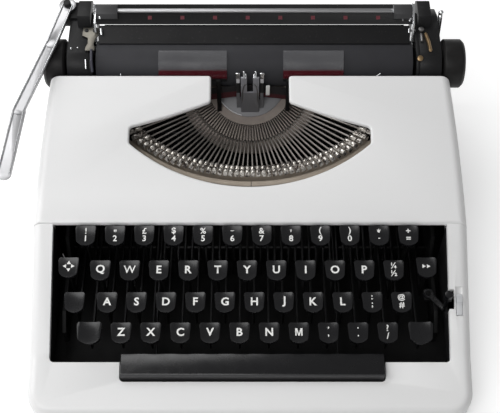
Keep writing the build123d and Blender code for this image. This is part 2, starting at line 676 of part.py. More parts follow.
def type_bar(angle, fit):
    """One bar with its head, in the machine; the fit opens its hook round the wire."""
    gap = WIRE_RADIUS + fit
    half = BAR_DEPTH / 2
    profile = make_face(Polyline(
        (0, 0), (0, half), (bar_length - TYPE_LENGTH / 2 + 0.5, half),
        (bar_length - TYPE_LENGTH / 2 + 0.5, -half), (gap, -half - 0.6), (-BAR_HEEL, -half - 0.6),
        (-BAR_HEEL, 0), close=True))
    profile -= Circle(gap)
    arm = extrude(profile, amount=BAR_THICKNESS / 2, both=True)
    head_start = bar_length - TYPE_LENGTH / 2
    head = make_face(Polyline(
        (head_start, -TYPE_BACK), (head_start, TYPE_FACE - 1.2), (head_start + 1.0, TYPE_FACE),
        (head_start + TYPE_LENGTH, TYPE_FACE), (head_start + TYPE_LENGTH, -TYPE_BACK), close=True))
    head = extrude(head, amount=TYPE_WIDTH / 2, both=True)
    upright = Plane(origin=(0, -BAR_PIVOT_RADIUS, -WIRE_DEPTH), x_dir=(0, -1, 0), z_dir=(-1, 0, 0))
    bar = (arm + head)
    bar = upright.location * Rot(0, 0, rest_angle(angle)) * bar
    return on_segment(Rot(0, 0, angle) * bar)


for index, angle in enumerate(bar_angles):
    if index != live_bar:
        keep("type_bars", type_bar(angle, 0.1))
keep("type_bar_h", type_bar(bar_angles[live_bar], 0.1))


def head_place(angle):
    """Centre of a resting type head in the machine."""
    reach = BAR_PIVOT_RADIUS + bar_length * cos(radians(rest_angle(angle)))
    lift = bar_length * sin(radians(rest_angle(angle))) - WIRE_DEPTH
    spot = (reach * sin(radians(angle)), -reach * cos(radians(angle)), lift)
    return segment_plane.from_local_coords(spot)


# Rest for the heads: a level arc through the heads' resting places, with a band outside them
end_head = head_place(BAR_FAN_ANGLE)
mid_head = head_place(0.0)
sagitta = end_head.Y - mid_head.Y
rest_radius = (end_head.X ** 2 + sagitta ** 2) / (2 * sagitta)
rest_centre = mid_head.Y + rest_radius
head_low = BAR_REST_HEIGHT - TYPE_LENGTH / 2 - REST_GAP - REST_HEAD_DROP
band_inner = rest_radius + TYPE_LENGTH / 2 + REST_BAND_GAP


def arc_band(r0, r1, z0, z1):
    ring_face = Circle(r1) - Circle(r0)
    wedge = make_face(Polyline(
        (0, 0), (-200 * sin(radians(REST_HALF_ANGLE)), -200 * cos(radians(REST_HALF_ANGLE))),
        (200 * sin(radians(REST_HALF_ANGLE)), -200 * cos(radians(REST_HALF_ANGLE))), close=True))
    return Pos(0, rest_centre, z0) * extrude(ring_face & wedge, amount=z1 - z0)


type_rest = arc_band(rest_radius - REST_SHELF_DEPTH, band_inner + REST_BAND_WIDTH,
                     head_low - REST_SHELF, head_low)
type_rest += arc_band(band_inner, band_inner + REST_BAND_WIDTH, head_low, head_low + REST_BAND_HEIGHT)
for step in (7.5, 37.5):
    x = row_start_x[0] + step * KEY_PITCH / 4
    rest_leg_y = rest_centre - sqrt((band_inner + 3) ** 2 - x ** 2)
    leg = block(x - REST_LEG_HALF, x + REST_LEG_HALF, rest_leg_y, rest_leg_y + REST_SHELF_DEPTH,
                CROSS_BAR_HEIGHT + pan_top, head_low - 1)
    type_rest += leg
keep("type_rest", type_rest)

# Type guide with its fork, and the carrier that lifts the ribbon
guide_points = (
    (-GUIDE_HALF_WIDTH, 0.0), (GUIDE_HALF_WIDTH, 0.0), (GUIDE_HALF_WIDTH, 1.0),
    (GUIDE_FORK_HALF_WIDTH, 1.0), (GUIDE_FORK_HALF_WIDTH, 0.55), (-GUIDE_FORK_HALF_WIDTH, 0.55),
    (-GUIDE_FORK_HALF_WIDTH, 1.0), (-GUIDE_HALF_WIDTH, 1.0))
guide_bottom = SEGMENT_Z - (SEGMENT_Y - GUIDE_FRONT_Y) * tan(radians(SEGMENT_TILT))
fork_share = (GUIDE_FORK_BOTTOM - guide_bottom) / (GUIDE_TOP - guide_bottom)
guide_outline = [
    (x, guide_bottom + (fork_share if 0 < share < 1 else share) * (GUIDE_TOP - guide_bottom))
    for x, share in guide_points]
guide = extrude(make_face(Polyline(*guide_outline, close=True)), amount=GUIDE_THICKNESS)
guide = Plane.XZ.offset(-GUIDE_FRONT_Y).location * guide
guide = Pos(0, GUIDE_THICKNESS, 0) * guide
guide -= on_segment(block(-60, 60, -60, 60, -30, FACE_PLATE_THICKNESS))
keep("type_guide", guide)

vibrator = block(-VIBRATOR_HALF_WIDTH, VIBRATOR_HALF_WIDTH, VIBRATOR_Y, VIBRATOR_Y + VIBRATOR_THICKNESS,
                 VIBRATOR_BOTTOM, VIBRATOR_BOTTOM + 10)
for side in (-1, 1):
    post_x = side * (VIBRATOR_HALF_WIDTH - VIBRATOR_POST / 2)
    vibrator += block(post_x - VIBRATOR_POST / 2, post_x + VIBRATOR_POST / 2, VIBRATOR_Y,
                      VIBRATOR_Y + VIBRATOR_THICKNESS, VIBRATOR_BOTTOM, VIBRATOR_TOP)
keep("ribbon_vibrator", vibrator)

# Card holders: two clear plates curved round the front of the platen, on posts from the segment
holder_inner = PLATEN_RADIUS + HOLDER_OFFSET
holder_outer = holder_inner + HOLDER_THICKNESS


def arc_strip(r0, r1, start, stop, x0, x1):
    """Curved plate round the platen, between two angles from the typist's level, rising."""
    def spot(r, a):
        return (PLATEN_Y - r * cos(radians(a)), PLATEN_Z + r * sin(radians(a)))
    middle = (start + stop) / 2
    face = make_face([
        ThreePointArc(spot(r0, start), spot(r0, middle), spot(r0, stop)),
        Line(spot(r0, stop), spot(r1, stop)),
        ThreePointArc(spot(r1, stop), spot(r1, middle), spot(r1, start)),
        Line(spot(r1, start), spot(r0, start))])
    return Pos(x0, 0, 0) * extrude(Plane.YZ * face, amount=x1 - x0)


for (x0, x1), post_x in zip((HOLDER_LEFT, HOLDER_RIGHT), HOLDER_POST_X):
    holder = arc_strip(holder_inner, holder_outer, HOLDER_START_ANGLE, HOLDER_END_ANGLE, x0, x1)
    post = block(post_x - HOLDER_POST_WIDTH / 2, post_x + HOLDER_POST_WIDTH / 2, *HOLDER_POST_Y,
                 SEGMENT_Z - HOLDER_POST_DROP, HOLDER_POST_TOP)
    post -= on_segment(block(-60, 60, -60, 60, -30, 0))
    post -= rod_x(holder_inner, -SEGMENT_RADIUS, SEGMENT_RADIUS, PLATEN_Y, PLATEN_Z)
    keep("card_holders", holder + post)

# Key caps and levers
lever_slope = (LEVER_FRONT_CENTRE - FULCRUM_Z) / (FULCRUM_Y - LEVER_FRONT_Y)


def lever_centre(y):
    return FULCRUM_Z + lever_slope * (FULCRUM_Y - y)


def key_x(row, column):
    return row_start_x[row] + KEY_PITCH * column


def cap_solid(width, depth):
    """Key top: straight at the back, drawn in and rounded at the front, with a dished face."""
    half = width / 2
    face = make_face([
        Line((half, depth / 2), (-half, depth / 2)),
        Line((-half, depth / 2), (-half * 0.86, -depth * 0.3)),
        ThreePointArc((-half * 0.86, -depth * 0.3), (0, -depth / 2), (half * 0.86, -depth * 0.3)),
        Line((half * 0.86, -depth * 0.3), (half, depth / 2))])
    face = fillet(face.vertices(), CAP_CORNER)
    cap = Rot(180, 0, 0) * extrude(mirror(face, about=Plane.XZ), amount=CAP_HEIGHT, taper=CAP_DRAFT_ANGLE)
    dish = Pos(0, 0, DISH_RADIUS - DISH_DEPTH) * Rot(90, 0, 0) * Cylinder(DISH_RADIUS, depth * 2)
    return cap - dish


letter_cap = cap_solid(CAP_WIDTH, CAP_DEPTH)
shift_cap = cap_solid(SHIFT_WIDTH, SHIFT_DEPTH)


def lever_solid(x, y, stem_top, dip=()):
    """Flat steel lever from the fulcrum shaft to its stem; a dip is a run of lower points in front."""
    half = LEVER_HEIGHT / 2
    front = y - STEM_DEPTH / 2
    rear = y + STEM_DEPTH / 2
    foot = dip[0] if dip else ((front, lever_centre(front) - half),)
    throat = dip[1] if dip else ((rear, lever_centre(rear) + half),)
    points = (
        *foot, (FULCRUM_Y, FULCRUM_Z - half), (FULCRUM_Y, FULCRUM_Z + half),
        *throat, (rear, stem_top + STEM_DEPTH * sin(radians(CAP_TILT))), (front, stem_top))
    side = LEVER_THICKNESS / 2
    lever = profile_yz(points, x - side, x + side)
    lever += rod_x(HUB_RADIUS, x - side, x + side, FULCRUM_Y, FULCRUM_Z)
    return lever - rod_x(FULCRUM_RADIUS + FULCRUM_FIT, x - 5, x + 5, FULCRUM_Y, FULCRUM_Z)


def key_solids(x, y, top, cap):
    """Cap and lever of one key."""
    tilt = radians(CAP_TILT)
    under = top - CAP_HEIGHT / cos(tilt)
    stem_top = under - STEM_DEPTH / 2 * sin(tilt)
    placed = Pos(x, y, top) * Rot(CAP_TILT, 0, 0) * cap
    lever = lever_solid(x, y, stem_top + 1.0)
    return placed, lever - placed


lever_places = []
for row, size in enumerate(ROW_SIZE):
    for column in range(size):
        x = key_x(row, column)
        lever_places.append(x)
        name = "figure_keys"
        if row > 0 and column < len(ROW_KEYS[row - 1]):
            name = "key_" + ROW_KEYS[row - 1][column]
        keep(name, *key_solids(x, ROW_Y[row], ROW_TOP[row], letter_cap))

for name, x, row, rise, cap in (
        ("shift_lock_key", lock_x, 2, 0.0, letter_cap),
        ("margin_release_key", margin_release_x, 1, SIDE_KEY_RISE_Y, letter_cap),
        ("backspace_key", backspace_x, 1, SIDE_KEY_RISE_Y, letter_cap),
        ("shift_keys", shift_left_x, 3, 0.0, shift_cap),
        ("shift_keys", shift_right_x, 3, 0.0, shift_cap)):
    lever_places.append(x)
    keep(name, *key_solids(x, ROW_Y[row] + rise, ROW_TOP[row], cap))

# The tube that joins the two shift levers
side = LEVER_THICKNESS / 2
tube_bore = SHIFT_TUBE_RADIUS + 0.02
lug_low = SHIFT_TUBE_Z - tube_bore - SHIFT_LUG_WEB
lug_points = (
    (SHIFT_TUBE_Y - SHIFT_LUG_HALF, lug_low), (SHIFT_TUBE_Y + SHIFT_LUG_HALF, lug_low),
    (SHIFT_TUBE_Y + SHIFT_LUG_HALF, lever_centre(SHIFT_TUBE_Y)),
    (SHIFT_TUBE_Y - SHIFT_LUG_HALF, lever_centre(SHIFT_TUBE_Y)))
shift_parts = []
for part in nodes["shift_keys"]:
    if part.bounding_box().max.Y > SHIFT_TUBE_Y:
        x = part.center().X
        part += profile_yz(lug_points, x - side, x + side)
        part -= rod_x(tube_bore, x - 2 * side, x + 2 * side, SHIFT_TUBE_Y, SHIFT_TUBE_Z)
    shift_parts.append(part)
shift_tube = rod_x(SHIFT_TUBE_RADIUS, shift_left_x - side, shift_right_x + side, SHIFT_TUBE_Y, SHIFT_TUBE_Z)
nodes["shift_keys"] = shift_parts + [shift_tube]

# Space bar on two arms between the key levers
space_points = (
    (SPACE_FRONT_Y, SPACE_TOP - SPACE_HEIGHT), (SPACE_FRONT_Y, SPACE_TOP - 1.8),
    (SPACE_FRONT_Y + 1.2, SPACE_TOP - 0.6), (SPACE_REAR_Y, SPACE_TOP + 0.6),
    (SPACE_REAR_Y, SPACE_TOP - SPACE_HEIGHT))
space_start_x = NOTCH_MIDDLE_X - SPACE_HALF_LENGTH
space_end_x = NOTCH_MIDDLE_X + SPACE_HALF_LENGTH
space_bar = profile_yz(space_points, space_start_x, space_end_x)
space_hollow = (
    (SPACE_FRONT_Y + 2, SPACE_TOP - SPACE_HEIGHT - 1), (SPACE_FRONT_Y + 2, SPACE_TOP - 4.2),
    (SPACE_REAR_Y - 2, SPACE_TOP - 2.2), (SPACE_REAR_Y - 2, SPACE_TOP - SPACE_HEIGHT - 1))
space_bar -= profile_yz(space_hollow, space_start_x + 2, space_end_x - 2)
keep("space_bar", space_bar)
for steps in (9.5, 34.5):
    x = row_start_x[0] + steps * KEY_PITCH / 4
    lever_places.append(x)
    arm_dip = (
        ((SPACE_REAR_Y - 5 - STEM_DEPTH / 2, SPACE_ARM_LOW), (SPACE_ARM_DIP_Y, SPACE_ARM_LOW),
         (SPACE_ARM_RISE_Y, lever_centre(SPACE_ARM_RISE_Y) - LEVER_HEIGHT / 2)),
        ((SPACE_ARM_RISE_Y, lever_centre(SPACE_ARM_RISE_Y) + LEVER_HEIGHT / 2),
         (SPACE_ARM_DIP_Y, SPACE_ARM_LOW + SPACE_ARM_HEIGHT),
         (SPACE_REAR_Y - 5 + STEM_DEPTH / 2, SPACE_ARM_LOW + SPACE_ARM_HEIGHT)))
    arm = lever_solid(x, SPACE_REAR_Y - 5, SPACE_TOP - 5, arm_dip)
    keep("space_bar", arm - space_bar)

# Fulcrum shaft and the comb that keeps the levers apart
keep("key_fulcrum", rod_x(FULCRUM_RADIUS, -frame_end_x, frame_end_x, FULCRUM_Y, FULCRUM_Z))
comb = block(-frame_plate_x, frame_plate_x, COMB_Y, COMB_Y + COMB_THICKNESS, pan_top, COMB_TOP)
comb_slots = [
    block(x - COMB_SLOT / 2, x + COMB_SLOT / 2, COMB_Y - 1, COMB_Y + 3, pan_top + 2, COMB_TOP + 1)
    for x in lever_places]
keep("key_fulcrum", comb - comb_slots)

# Ribbon spools, each with its wound ribbon, and the ribbon across the front of the platen
for side, name in ((-1, "spool_left"), (1, "spool_right")):
    x = side * spool_x
    flanges = rod_z(SPOOL_RADIUS, x, SPOOL_Y, SPOOL_BOTTOM, SPOOL_BOTTOM + SPOOL_FLANGE)
    flanges += rod_z(SPOOL_RADIUS, x, SPOOL_Y, SPOOL_BOTTOM + SPOOL_HEIGHT - SPOOL_FLANGE,
                     SPOOL_BOTTOM + SPOOL_HEIGHT)
    flanges += rod_z(SPOOL_WOUND_RADIUS, x, SPOOL_Y, SPOOL_BOTTOM, SPOOL_BOTTOM + SPOOL_HEIGHT)
    keep(name, flanges - rod_z(SPOOL_PIN_RADIUS + 0.05, x, SPOOL_Y, 0, 100))

ribbon_low = SPOOL_BOTTOM + SPOOL_FLANGE + 0.3
low = ribbon_low
top = RIBBON_PRINT_LOW
wide_x = RIBBON_TURN_X
near_x = VIBRATOR_HALF_WIDTH
ribbon_face = make_face(Polyline(
    (-wide_x, low), (-near_x, top), (near_x, top), (wide_x, low), (wide_x, low + RIBBON_HEIGHT),
    (near_x, top + RIBBON_HEIGHT), (-near_x, top + RIBBON_HEIGHT),
    (-wide_x, low + RIBBON_HEIGHT), close=True))
ribbon = Pos(0, RIBBON_Y + RIBBON_THICKNESS, 0) * extrude(Plane.XZ * ribbon_face, amount=RIBBON_THICKNESS)

# The run to each spool is a tangent of its wound ribbon
spool_dx = spool_x - wide_x
spool_dy = SPOOL_Y - RIBBON_Y
spool_way = hypot(spool_dx, spool_dy)
wound = SPOOL_WOUND_RADIUS + RIBBON_THICKNESS
run_angle = atan2(spool_dy, spool_dx) + asin(wound / spool_way)
run_length = sqrt(spool_way ** 2 - wound ** 2)
run_plane = Plane(origin=(wide_x, RIBBON_Y, low), x_dir=(cos(run_angle), sin(run_angle), 0), z_dir=(0, 0, 1))
run = Pos(run_length / 2, RIBBON_THICKNESS / 2, RIBBON_HEIGHT / 2) * Box(
    run_length, RIBBON_THICKNESS, RIBBON_HEIGHT)
run = run_plane.location * run
keep("ribbon", ribbon + run + mirrored(run))

# Carriage rail, fixed on the side plates
rail_low = REAR_DECK_HEIGHT
rail_top = rail_low + RAIL_HEIGHT
rail_middle = rail_low + RAIL_HEIGHT / 2
g = RAIL_GROOVE
rail_points = (
    (RAIL_FRONT_Y, rail_low), (RAIL_REAR_Y, rail_low), (RAIL_REAR_Y, rail_middle - g),
    (RAIL_REAR_Y - g, rail_middle), (RAIL_REAR_Y, rail_middle + g), (RAIL_REAR_Y, rail_top),
    (RAIL_FRONT_Y, rail_top), (RAIL_FRONT_Y, rail_middle + g), (RAIL_FRONT_Y + g, rail_middle),
    (RAIL_FRONT_Y, rail_middle - g))
keep("carriage_rail", profile_yz(rail_points, -frame_end_x, frame_end_x))

# Carriage frame: bed over the rail and two side plates with the platen's bearings
bed_low = rail_top + SLIDE_GAP
bed_top = bed_low + BED_HEIGHT
bed_front = RAIL_FRONT_Y - SLIDE_GAP - BED_LIP
bed_rear = RAIL_REAR_Y + SLIDE_GAP + BED_LIP
bed_points = (
    (bed_front, bed_low - BED_LIP_DROP), (RAIL_FRONT_Y - SLIDE_GAP, bed_low - BED_LIP_DROP),
    (RAIL_FRONT_Y - SLIDE_GAP, bed_low), (RAIL_REAR_Y + SLIDE_GAP, bed_low),
    (RAIL_REAR_Y + SLIDE_GAP, bed_low - BED_LIP_DROP), (bed_rear, bed_low - BED_LIP_DROP),
    (bed_rear, bed_top), (bed_front, bed_top))
bed = profile_yz(bed_points, -side_plate_x, side_plate_x)


def end_profile(front_radius, top_points, x0, x1):
    """Side of the carriage's end: round the platen in front, then back and down."""
    def spot(a):
        return (PLATEN_Y - front_radius * cos(radians(a)), PLATEN_Z + front_radius * sin(radians(a)))
    low_front = (bed_front - 3, bed_low)
    face = make_face([
        Line(low_front, spot(-35)),
        ThreePointArc(spot(-35), spot(22), spot(80)),
        Polyline(spot(80), *top_points, (bed_rear + 8, bed_low + 6), (bed_rear, bed_low), low_front)])
    return Pos(x0, 0, 0) * extrude(Plane.YZ * face, amount=x1 - x0)


plate_radius = PLATEN_RADIUS
plate_tops = ((258.0, 94.5), (276.0, 94.5), (283.0, 88.0))
side_a = end_profile(plate_radius, plate_tops, side_plate_x, side_plate_x + SIDE_PLATE_THICKNESS)
side_a -= rod_x(PLATEN_SHAFT_RADIUS + PLATEN_FIT, 0, knob_end_x, PLATEN_Y, PLATEN_Z)
bail_pin = rod_x(BAIL_PIN_RADIUS, bail_arm_x - 0.4, side_plate_x, *BAIL_PIVOT)
side_a += bail_pin
carriage_frame = bed + side_a + mirrored(side_a)
carriage_frame = Pos(CARRIAGE_REST_X, 0, 0) * carriage_frame
keep("carriage_frame", carriage_frame)

low_tops = ((256.0, 94.2), (274.0, 94.2), (286.0, 88.0))
end_cover = end_profile(plate_radius + 0.4, low_tops, cover_start_x, cover_end_x)
end_cover += profile_yz(
    ((262.0, 90.0), (263.5, 98.5), (266.0, 102.5), (281.0, 101.5), (285.5, 97.0), (285.5, 88.3)),
    cover_start_x, cover_start_x + END_COVER_HIGH_WIDTH)
end_cover -= rod_x(PLATEN_SHAFT_RADIUS + SLIDE_GAP, 0, knob_end_x, PLATEN_Y, PLATEN_Z)
left_cover = mirrored(end_cover)
bracket = block(lever_pivot_x - 5, -cover_start_x - 2, LEVER_PIVOT_Y - 10, LEVER_PIVOT_Y + 5,
                LEVER_BRACKET_TOP - 8.5, LEVER_BRACKET_TOP)
bracket -= block(-cover_start_x - END_COVER_HIGH_WIDTH - 0.01, -cover_start_x, 200, 300, 80, 110)
bracket += rod_z(LEVER_PIN_RADIUS, lever_pivot_x, LEVER_PIVOT_Y, LEVER_BRACKET_TOP, 101.5)
right_cover = end_cover + rod_x(
    RELEASE_PIN_RADIUS, cover_end_x, cover_end_x + RELEASE_THICKNESS + 0.6, *RELEASE_PIVOT)
keep("carriage_end_covers", Pos(CARRIAGE_REST_X, 0, 0) * (left_cover + bracket))
keep("carriage_end_covers", Pos(CARRIAGE_REST_X, 0, 0) * right_cover)

# Platen on its shaft, with a knob at each end
roller = rod_x(PLATEN_RADIUS, -PLATEN_HALF_LENGTH, PLATEN_HALF_LENGTH, PLATEN_Y, PLATEN_Z)
roller -= rod_x(PLATEN_SHAFT_RADIUS + 0.02, -knob_end_x, knob_end_x, PLATEN_Y, PLATEN_Z)
keep("platen_roller", Pos(CARRIAGE_REST_X, 0, 0) * roller)
shaft = rod_x(PLATEN_SHAFT_RADIUS, -knob_start_x, knob_start_x, PLATEN_Y, PLATEN_Z)
keep("platen_knobs", Pos(CARRIAGE_REST_X, 0, 0) * shaft)
knob_face = make_face(Polyline(
    (0, 0), (KNOB_RADIUS - 2.4, 0), (KNOB_RADIUS, 1.6), (KNOB_RADIUS, KNOB_WIDTH - 2.6),
    (KNOB_RADIUS - 2.0, KNOB_WIDTH - 0.6), (KNOB_RADIUS - 5.0, KNOB_WIDTH),
    (KNOB_RADIUS - 6.5, KNOB_WIDTH - 1.6), (0, KNOB_WIDTH - 1.6), close=True))
knob = revolve(Plane.XZ * knob_face, axis=Axis.Z)
knob = Pos(knob_start_x, PLATEN_Y, PLATEN_Z) * Rot(0, 90, 0) * knob
for piece in (knob, mirrored(knob)):
    keep("platen_knobs", Pos(CARRIAGE_REST_X, 0, 0) * piece)

# Paper table behind the platen, and the curved pan that guides the paper under it
table_path = Polyline(TABLE_LIP, TABLE_TOP, TABLE_FOLD, TABLE_FOOT)
table_face = make_face(offset(table_path, TABLE_SHEET / 2, side=Side.BOTH))
table = Pos(-table_half, 0, 0) * extrude(Plane.YZ * table_face, amount=2 * table_half)
keep("paper_table", Pos(CARRIAGE_REST_X, 0, 0) * table)
pan_arc = arc_strip(
    PAN_ARC_RADIUS, PAN_ARC_RADIUS + 0.8, 140, 255, -table_half, table_half)
keep("paper_table", Pos(CARRIAGE_REST_X, 0, 0) * pan_arc)

# Paper bail: scale plate and rod between two arms
bail_turn = atan2(BAIL_FAR[1] - BAIL_NEAR[1], BAIL_FAR[0] - BAIL_NEAR[0])
bail_path = Line(BAIL_NEAR, BAIL_FAR)
bail_face = make_face(offset(bail_path, BAIL_SHEET / 2, side=Side.BOTH))
bail_plate = Pos(-bail_arm_x, 0, 0) * extrude(Plane.YZ * bail_face, amount=2 * bail_arm_x)
rod_y = BAIL_NEAR[0] * 0.35 + BAIL_FAR[0] * 0.65 - sin(bail_turn) * (BAIL_ROD_RADIUS + BAIL_SHEET / 2 - 0.2)
rod_lift = cos(bail_turn) * (BAIL_ROD_RADIUS + BAIL_SHEET / 2 - 0.2)
rod_height = BAIL_NEAR[1] * 0.35 + BAIL_FAR[1] * 0.65 + rod_lift
bail = bail_plate + rod_x(BAIL_ROD_RADIUS, -bail_arm_x, bail_arm_x, rod_y, rod_height)
arm_points = (
    (BAIL_PIVOT[0] - 3, BAIL_PIVOT[1]), (BAIL_PIVOT[0] + 3.4, BAIL_PIVOT[1] - 1),
    (BAIL_NEAR[0] + 3.0, BAIL_NEAR[1] - 2.0), (BAIL_FAR[0] + 1.0, BAIL_FAR[1] - 1.2),
    (BAIL_FAR[0] - 1.4, BAIL_FAR[1] + 3.0), (BAIL_NEAR[0] - 1.2, BAIL_NEAR[1] + 1.5))
arm_end_x = bail_arm_x + BAIL_ARM_THICKNESS
bail_arm = profile_yz(arm_points, bail_arm_x, arm_end_x) + rod_x(3.4, bail_arm_x, arm_end_x, *BAIL_PIVOT)
bail_arm -= rod_x(BAIL_PIN_RADIUS + 0.05, 0, knob_end_x, *BAIL_PIVOT)
bail += bail_arm
bail += mirrored(bail_arm)
keep("paper_bail", Pos(CARRIAGE_REST_X, 0, 0) * bail)

# Paper release: a finger lever outside the right end cover
release_x0 = cover_end_x + 0.3
release_x1 = release_x0 + RELEASE_THICKNESS
release_points = (
    (RELEASE_PIVOT[0] - 4, RELEASE_PIVOT[1]), (RELEASE_PIVOT[0] + 4, RELEASE_PIVOT[1]),
    (RELEASE_TIP[0] + 3.5, RELEASE_TIP[1] - 9), (RELEASE_TIP[0] + 2.6, RELEASE_TIP[1] - 1),
    (RELEASE_TIP[0], RELEASE_TIP[1]), (RELEASE_TIP[0] - 2.6, RELEASE_TIP[1] - 2))
release = profile_yz(release_points, release_x0, release_x1)
release += rod_x(4.0, release_x0, release_x1, *RELEASE_PIVOT)
release -= rod_x(RELEASE_PIN_RADIUS + 0.05, 0, knob_end_x, *RELEASE_PIVOT)
keep("paper_release_lever", Pos(CARRIAGE_REST_X, 0, 0) * release)

# Carriage return lever: a flat strip from its pivot, out over the left knob and down beside the case
hub_low = LEVER_BRACKET_TOP + 0.3
hub_top = hub_low + 2.4
hub_middle = (hub_low + hub_top) / 2
lever_hub = rod_z(6.0, lever_pivot_x, LEVER_PIVOT_Y, hub_low, hub_top)
strip_spots = [Vector(lever_pivot_x, LEVER_PIVOT_Y, hub_middle)]
strip_spots += [Vector(lever_pivot_x + x, LEVER_PIVOT_Y + y, hub_middle + z) for x, y, z in LEVER_RUN]
lever_body = lever_hub
for start, stop, width in zip(
        strip_spots[:-1], strip_spots[1:], (LEVER_STRIP_WIDTH, LEVER_STRIP_WIDTH, LEVER_GRIP_WIDTH)):
    run_dir = (stop - start).normalized()
    across = Vector(0, 0, 1).cross(run_dir).normalized()
    frame = Plane(origin=start, x_dir=across, z_dir=run_dir)
    length = (stop - start).length
    strip = frame.location * Pos(0, 0, length / 2) * Box(width, LEVER_STRIP_THICKNESS, length)
    lever_body += strip
    lever_body += Pos(stop.X, stop.Y, stop.Z) * Cylinder(width / 2, LEVER_STRIP_THICKNESS)
lever_body -= rod_z(LEVER_PIN_RADIUS + 0.05, lever_pivot_x, LEVER_PIVOT_Y, 80, 110)
keep("return_lever", Pos(CARRIAGE_REST_X, 0, 0) * lever_body)

# Ribbon selector: an arm low in the well with an upright knob near the right wall
selector = rod_z(SELECTOR_HUB_RADIUS, selector_pivot_x, SELECTOR_PIVOT_Y,
                 SELECTOR_ARM_Z, SELECTOR_ARM_Z + 1.6)
arm_dir = Vector(selector_knob_x - selector_pivot_x, SELECTOR_KNOB_Y - SELECTOR_PIVOT_Y, 0)
arm_plane = Plane(
    origin=(selector_pivot_x, SELECTOR_PIVOT_Y, SELECTOR_ARM_Z + 0.8), x_dir=arm_dir, z_dir=(0, 0, 1))
selector += arm_plane.location * Pos(arm_dir.length / 2, 0, 0) * Box(arm_dir.length, 4.0, 1.6)
selector += rod_z(1.3, selector_knob_x, SELECTOR_KNOB_Y, SELECTOR_ARM_Z, SELECTOR_KNOB_TOP)
selector += rod_z(2.6, selector_knob_x, SELECTOR_KNOB_Y, SELECTOR_KNOB_TOP - 7, SELECTOR_KNOB_TOP)
selector -= rod_z(SELECTOR_PIN_RADIUS + 0.05, selector_pivot_x, SELECTOR_PIVOT_Y, 0, 100)
keep("ribbon_selector", selector)

# Slide switch let into the right rail
rail_rise = (COVER_FRONT_HEIGHT - DECK_REAR_HEIGHT) / (COVER_FRONT_Y - DECK_REAR_Y)
rail_angle = degrees(atan2(rail_rise, 1.0))
switch_height = DECK_REAR_HEIGHT + rail_rise * (SWITCH_Y - DECK_REAR_Y)
switch_place = Pos(case_half - SWITCH_SIDE_INSET, SWITCH_Y, switch_height) * Rot(rail_angle, 0, 0)
switch_slot = switch_place * Box(SWITCH_WIDTH + 0.6, SWITCH_LENGTH + 0.6, 2 * SWITCH_DEPTH)
selector_notch = block(
    well_half - 1, well_half + SELECTOR_NOTCH_DEPTH, SELECTOR_KNOB_Y - SELECTOR_NOTCH_HALF,
    SELECTOR_KNOB_Y + SELECTOR_NOTCH_HALF, SELECTOR_ARM_Z - 1.2, high)
nodes["top_case"] = [nodes["top_case"][0] - switch_slot - selector_notch]
slider = Pos(0, 0, -SWITCH_DEPTH / 2) * Box(SWITCH_WIDTH, SWITCH_LENGTH - 5, SWITCH_DEPTH)
slider += Pos(0, SWITCH_LENGTH / 2 - 6, 0.4) * Box(SWITCH_WIDTH, 4.0, 1.6)
keep("rail_slider", switch_place * Pos(0, -2.2, 0) * slider)


def solids_of(shapes):
    found = []
    for shape in shapes:
        found += list(shape.solids())
    return found


# The finished machine stands with the middle of its box over the origin
whole = Compound(children=[solid for shapes in nodes.values() for solid in solids_of(shapes)])
box = whole.bounding_box()
home = Pos(-(box.min.X + box.max.X) / 2, -(box.min.Y + box.max.Y) / 2, -box.min.Z)
home_offset = (-(box.min.X + box.max.X) / 2, -(box.min.Y + box.max.Y) / 2, -box.min.Z)
print("moved to the origin by", [round(v, 4) for v in home_offset])
for name, shapes in nodes.items():
    placed = [home * solid for solid in solids_of(shapes)]
    export_step(Compound(children=placed), "parts/" + name + ".step")
print(len(nodes), "nodes")
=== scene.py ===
import json
import math

import bpy
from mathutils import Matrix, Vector


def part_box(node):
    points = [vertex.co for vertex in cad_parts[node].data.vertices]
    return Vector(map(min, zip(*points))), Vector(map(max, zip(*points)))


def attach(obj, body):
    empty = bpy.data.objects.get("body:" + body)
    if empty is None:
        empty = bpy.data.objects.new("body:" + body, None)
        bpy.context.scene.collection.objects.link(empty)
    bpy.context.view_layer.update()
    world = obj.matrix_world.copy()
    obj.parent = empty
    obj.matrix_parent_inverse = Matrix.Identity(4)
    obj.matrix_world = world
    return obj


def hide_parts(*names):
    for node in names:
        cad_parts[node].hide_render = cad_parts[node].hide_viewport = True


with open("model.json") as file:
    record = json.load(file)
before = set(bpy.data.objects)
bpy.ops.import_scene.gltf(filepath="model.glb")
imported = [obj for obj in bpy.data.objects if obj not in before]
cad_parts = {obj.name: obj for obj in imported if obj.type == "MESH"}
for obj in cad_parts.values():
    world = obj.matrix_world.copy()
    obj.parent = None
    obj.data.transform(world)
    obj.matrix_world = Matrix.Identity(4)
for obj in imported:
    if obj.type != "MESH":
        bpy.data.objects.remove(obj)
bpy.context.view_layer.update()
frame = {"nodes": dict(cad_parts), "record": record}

# The machine was drawn from its front edge and its middle plane, in millimetres.
# The four feet show where that drawing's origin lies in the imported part.
FEET_MIDDLE_Y = 137.5
feet_low, feet_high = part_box("rubber_feet")
MIDDLE_X = (feet_low.x + feet_high.x) / 2
FRONT_Y = (feet_low.y + feet_high.y) / 2 - FEET_MIDDLE_Y / 1000


def mm(value):
    """Millimetres as metres."""
    return value / 1000


def at(x, y, z):
    """A point of the machine's drawing, in the part's own metres."""
    return Vector((MIDDLE_X + mm(x), FRONT_Y + mm(y), mm(z)))


# Shader maths


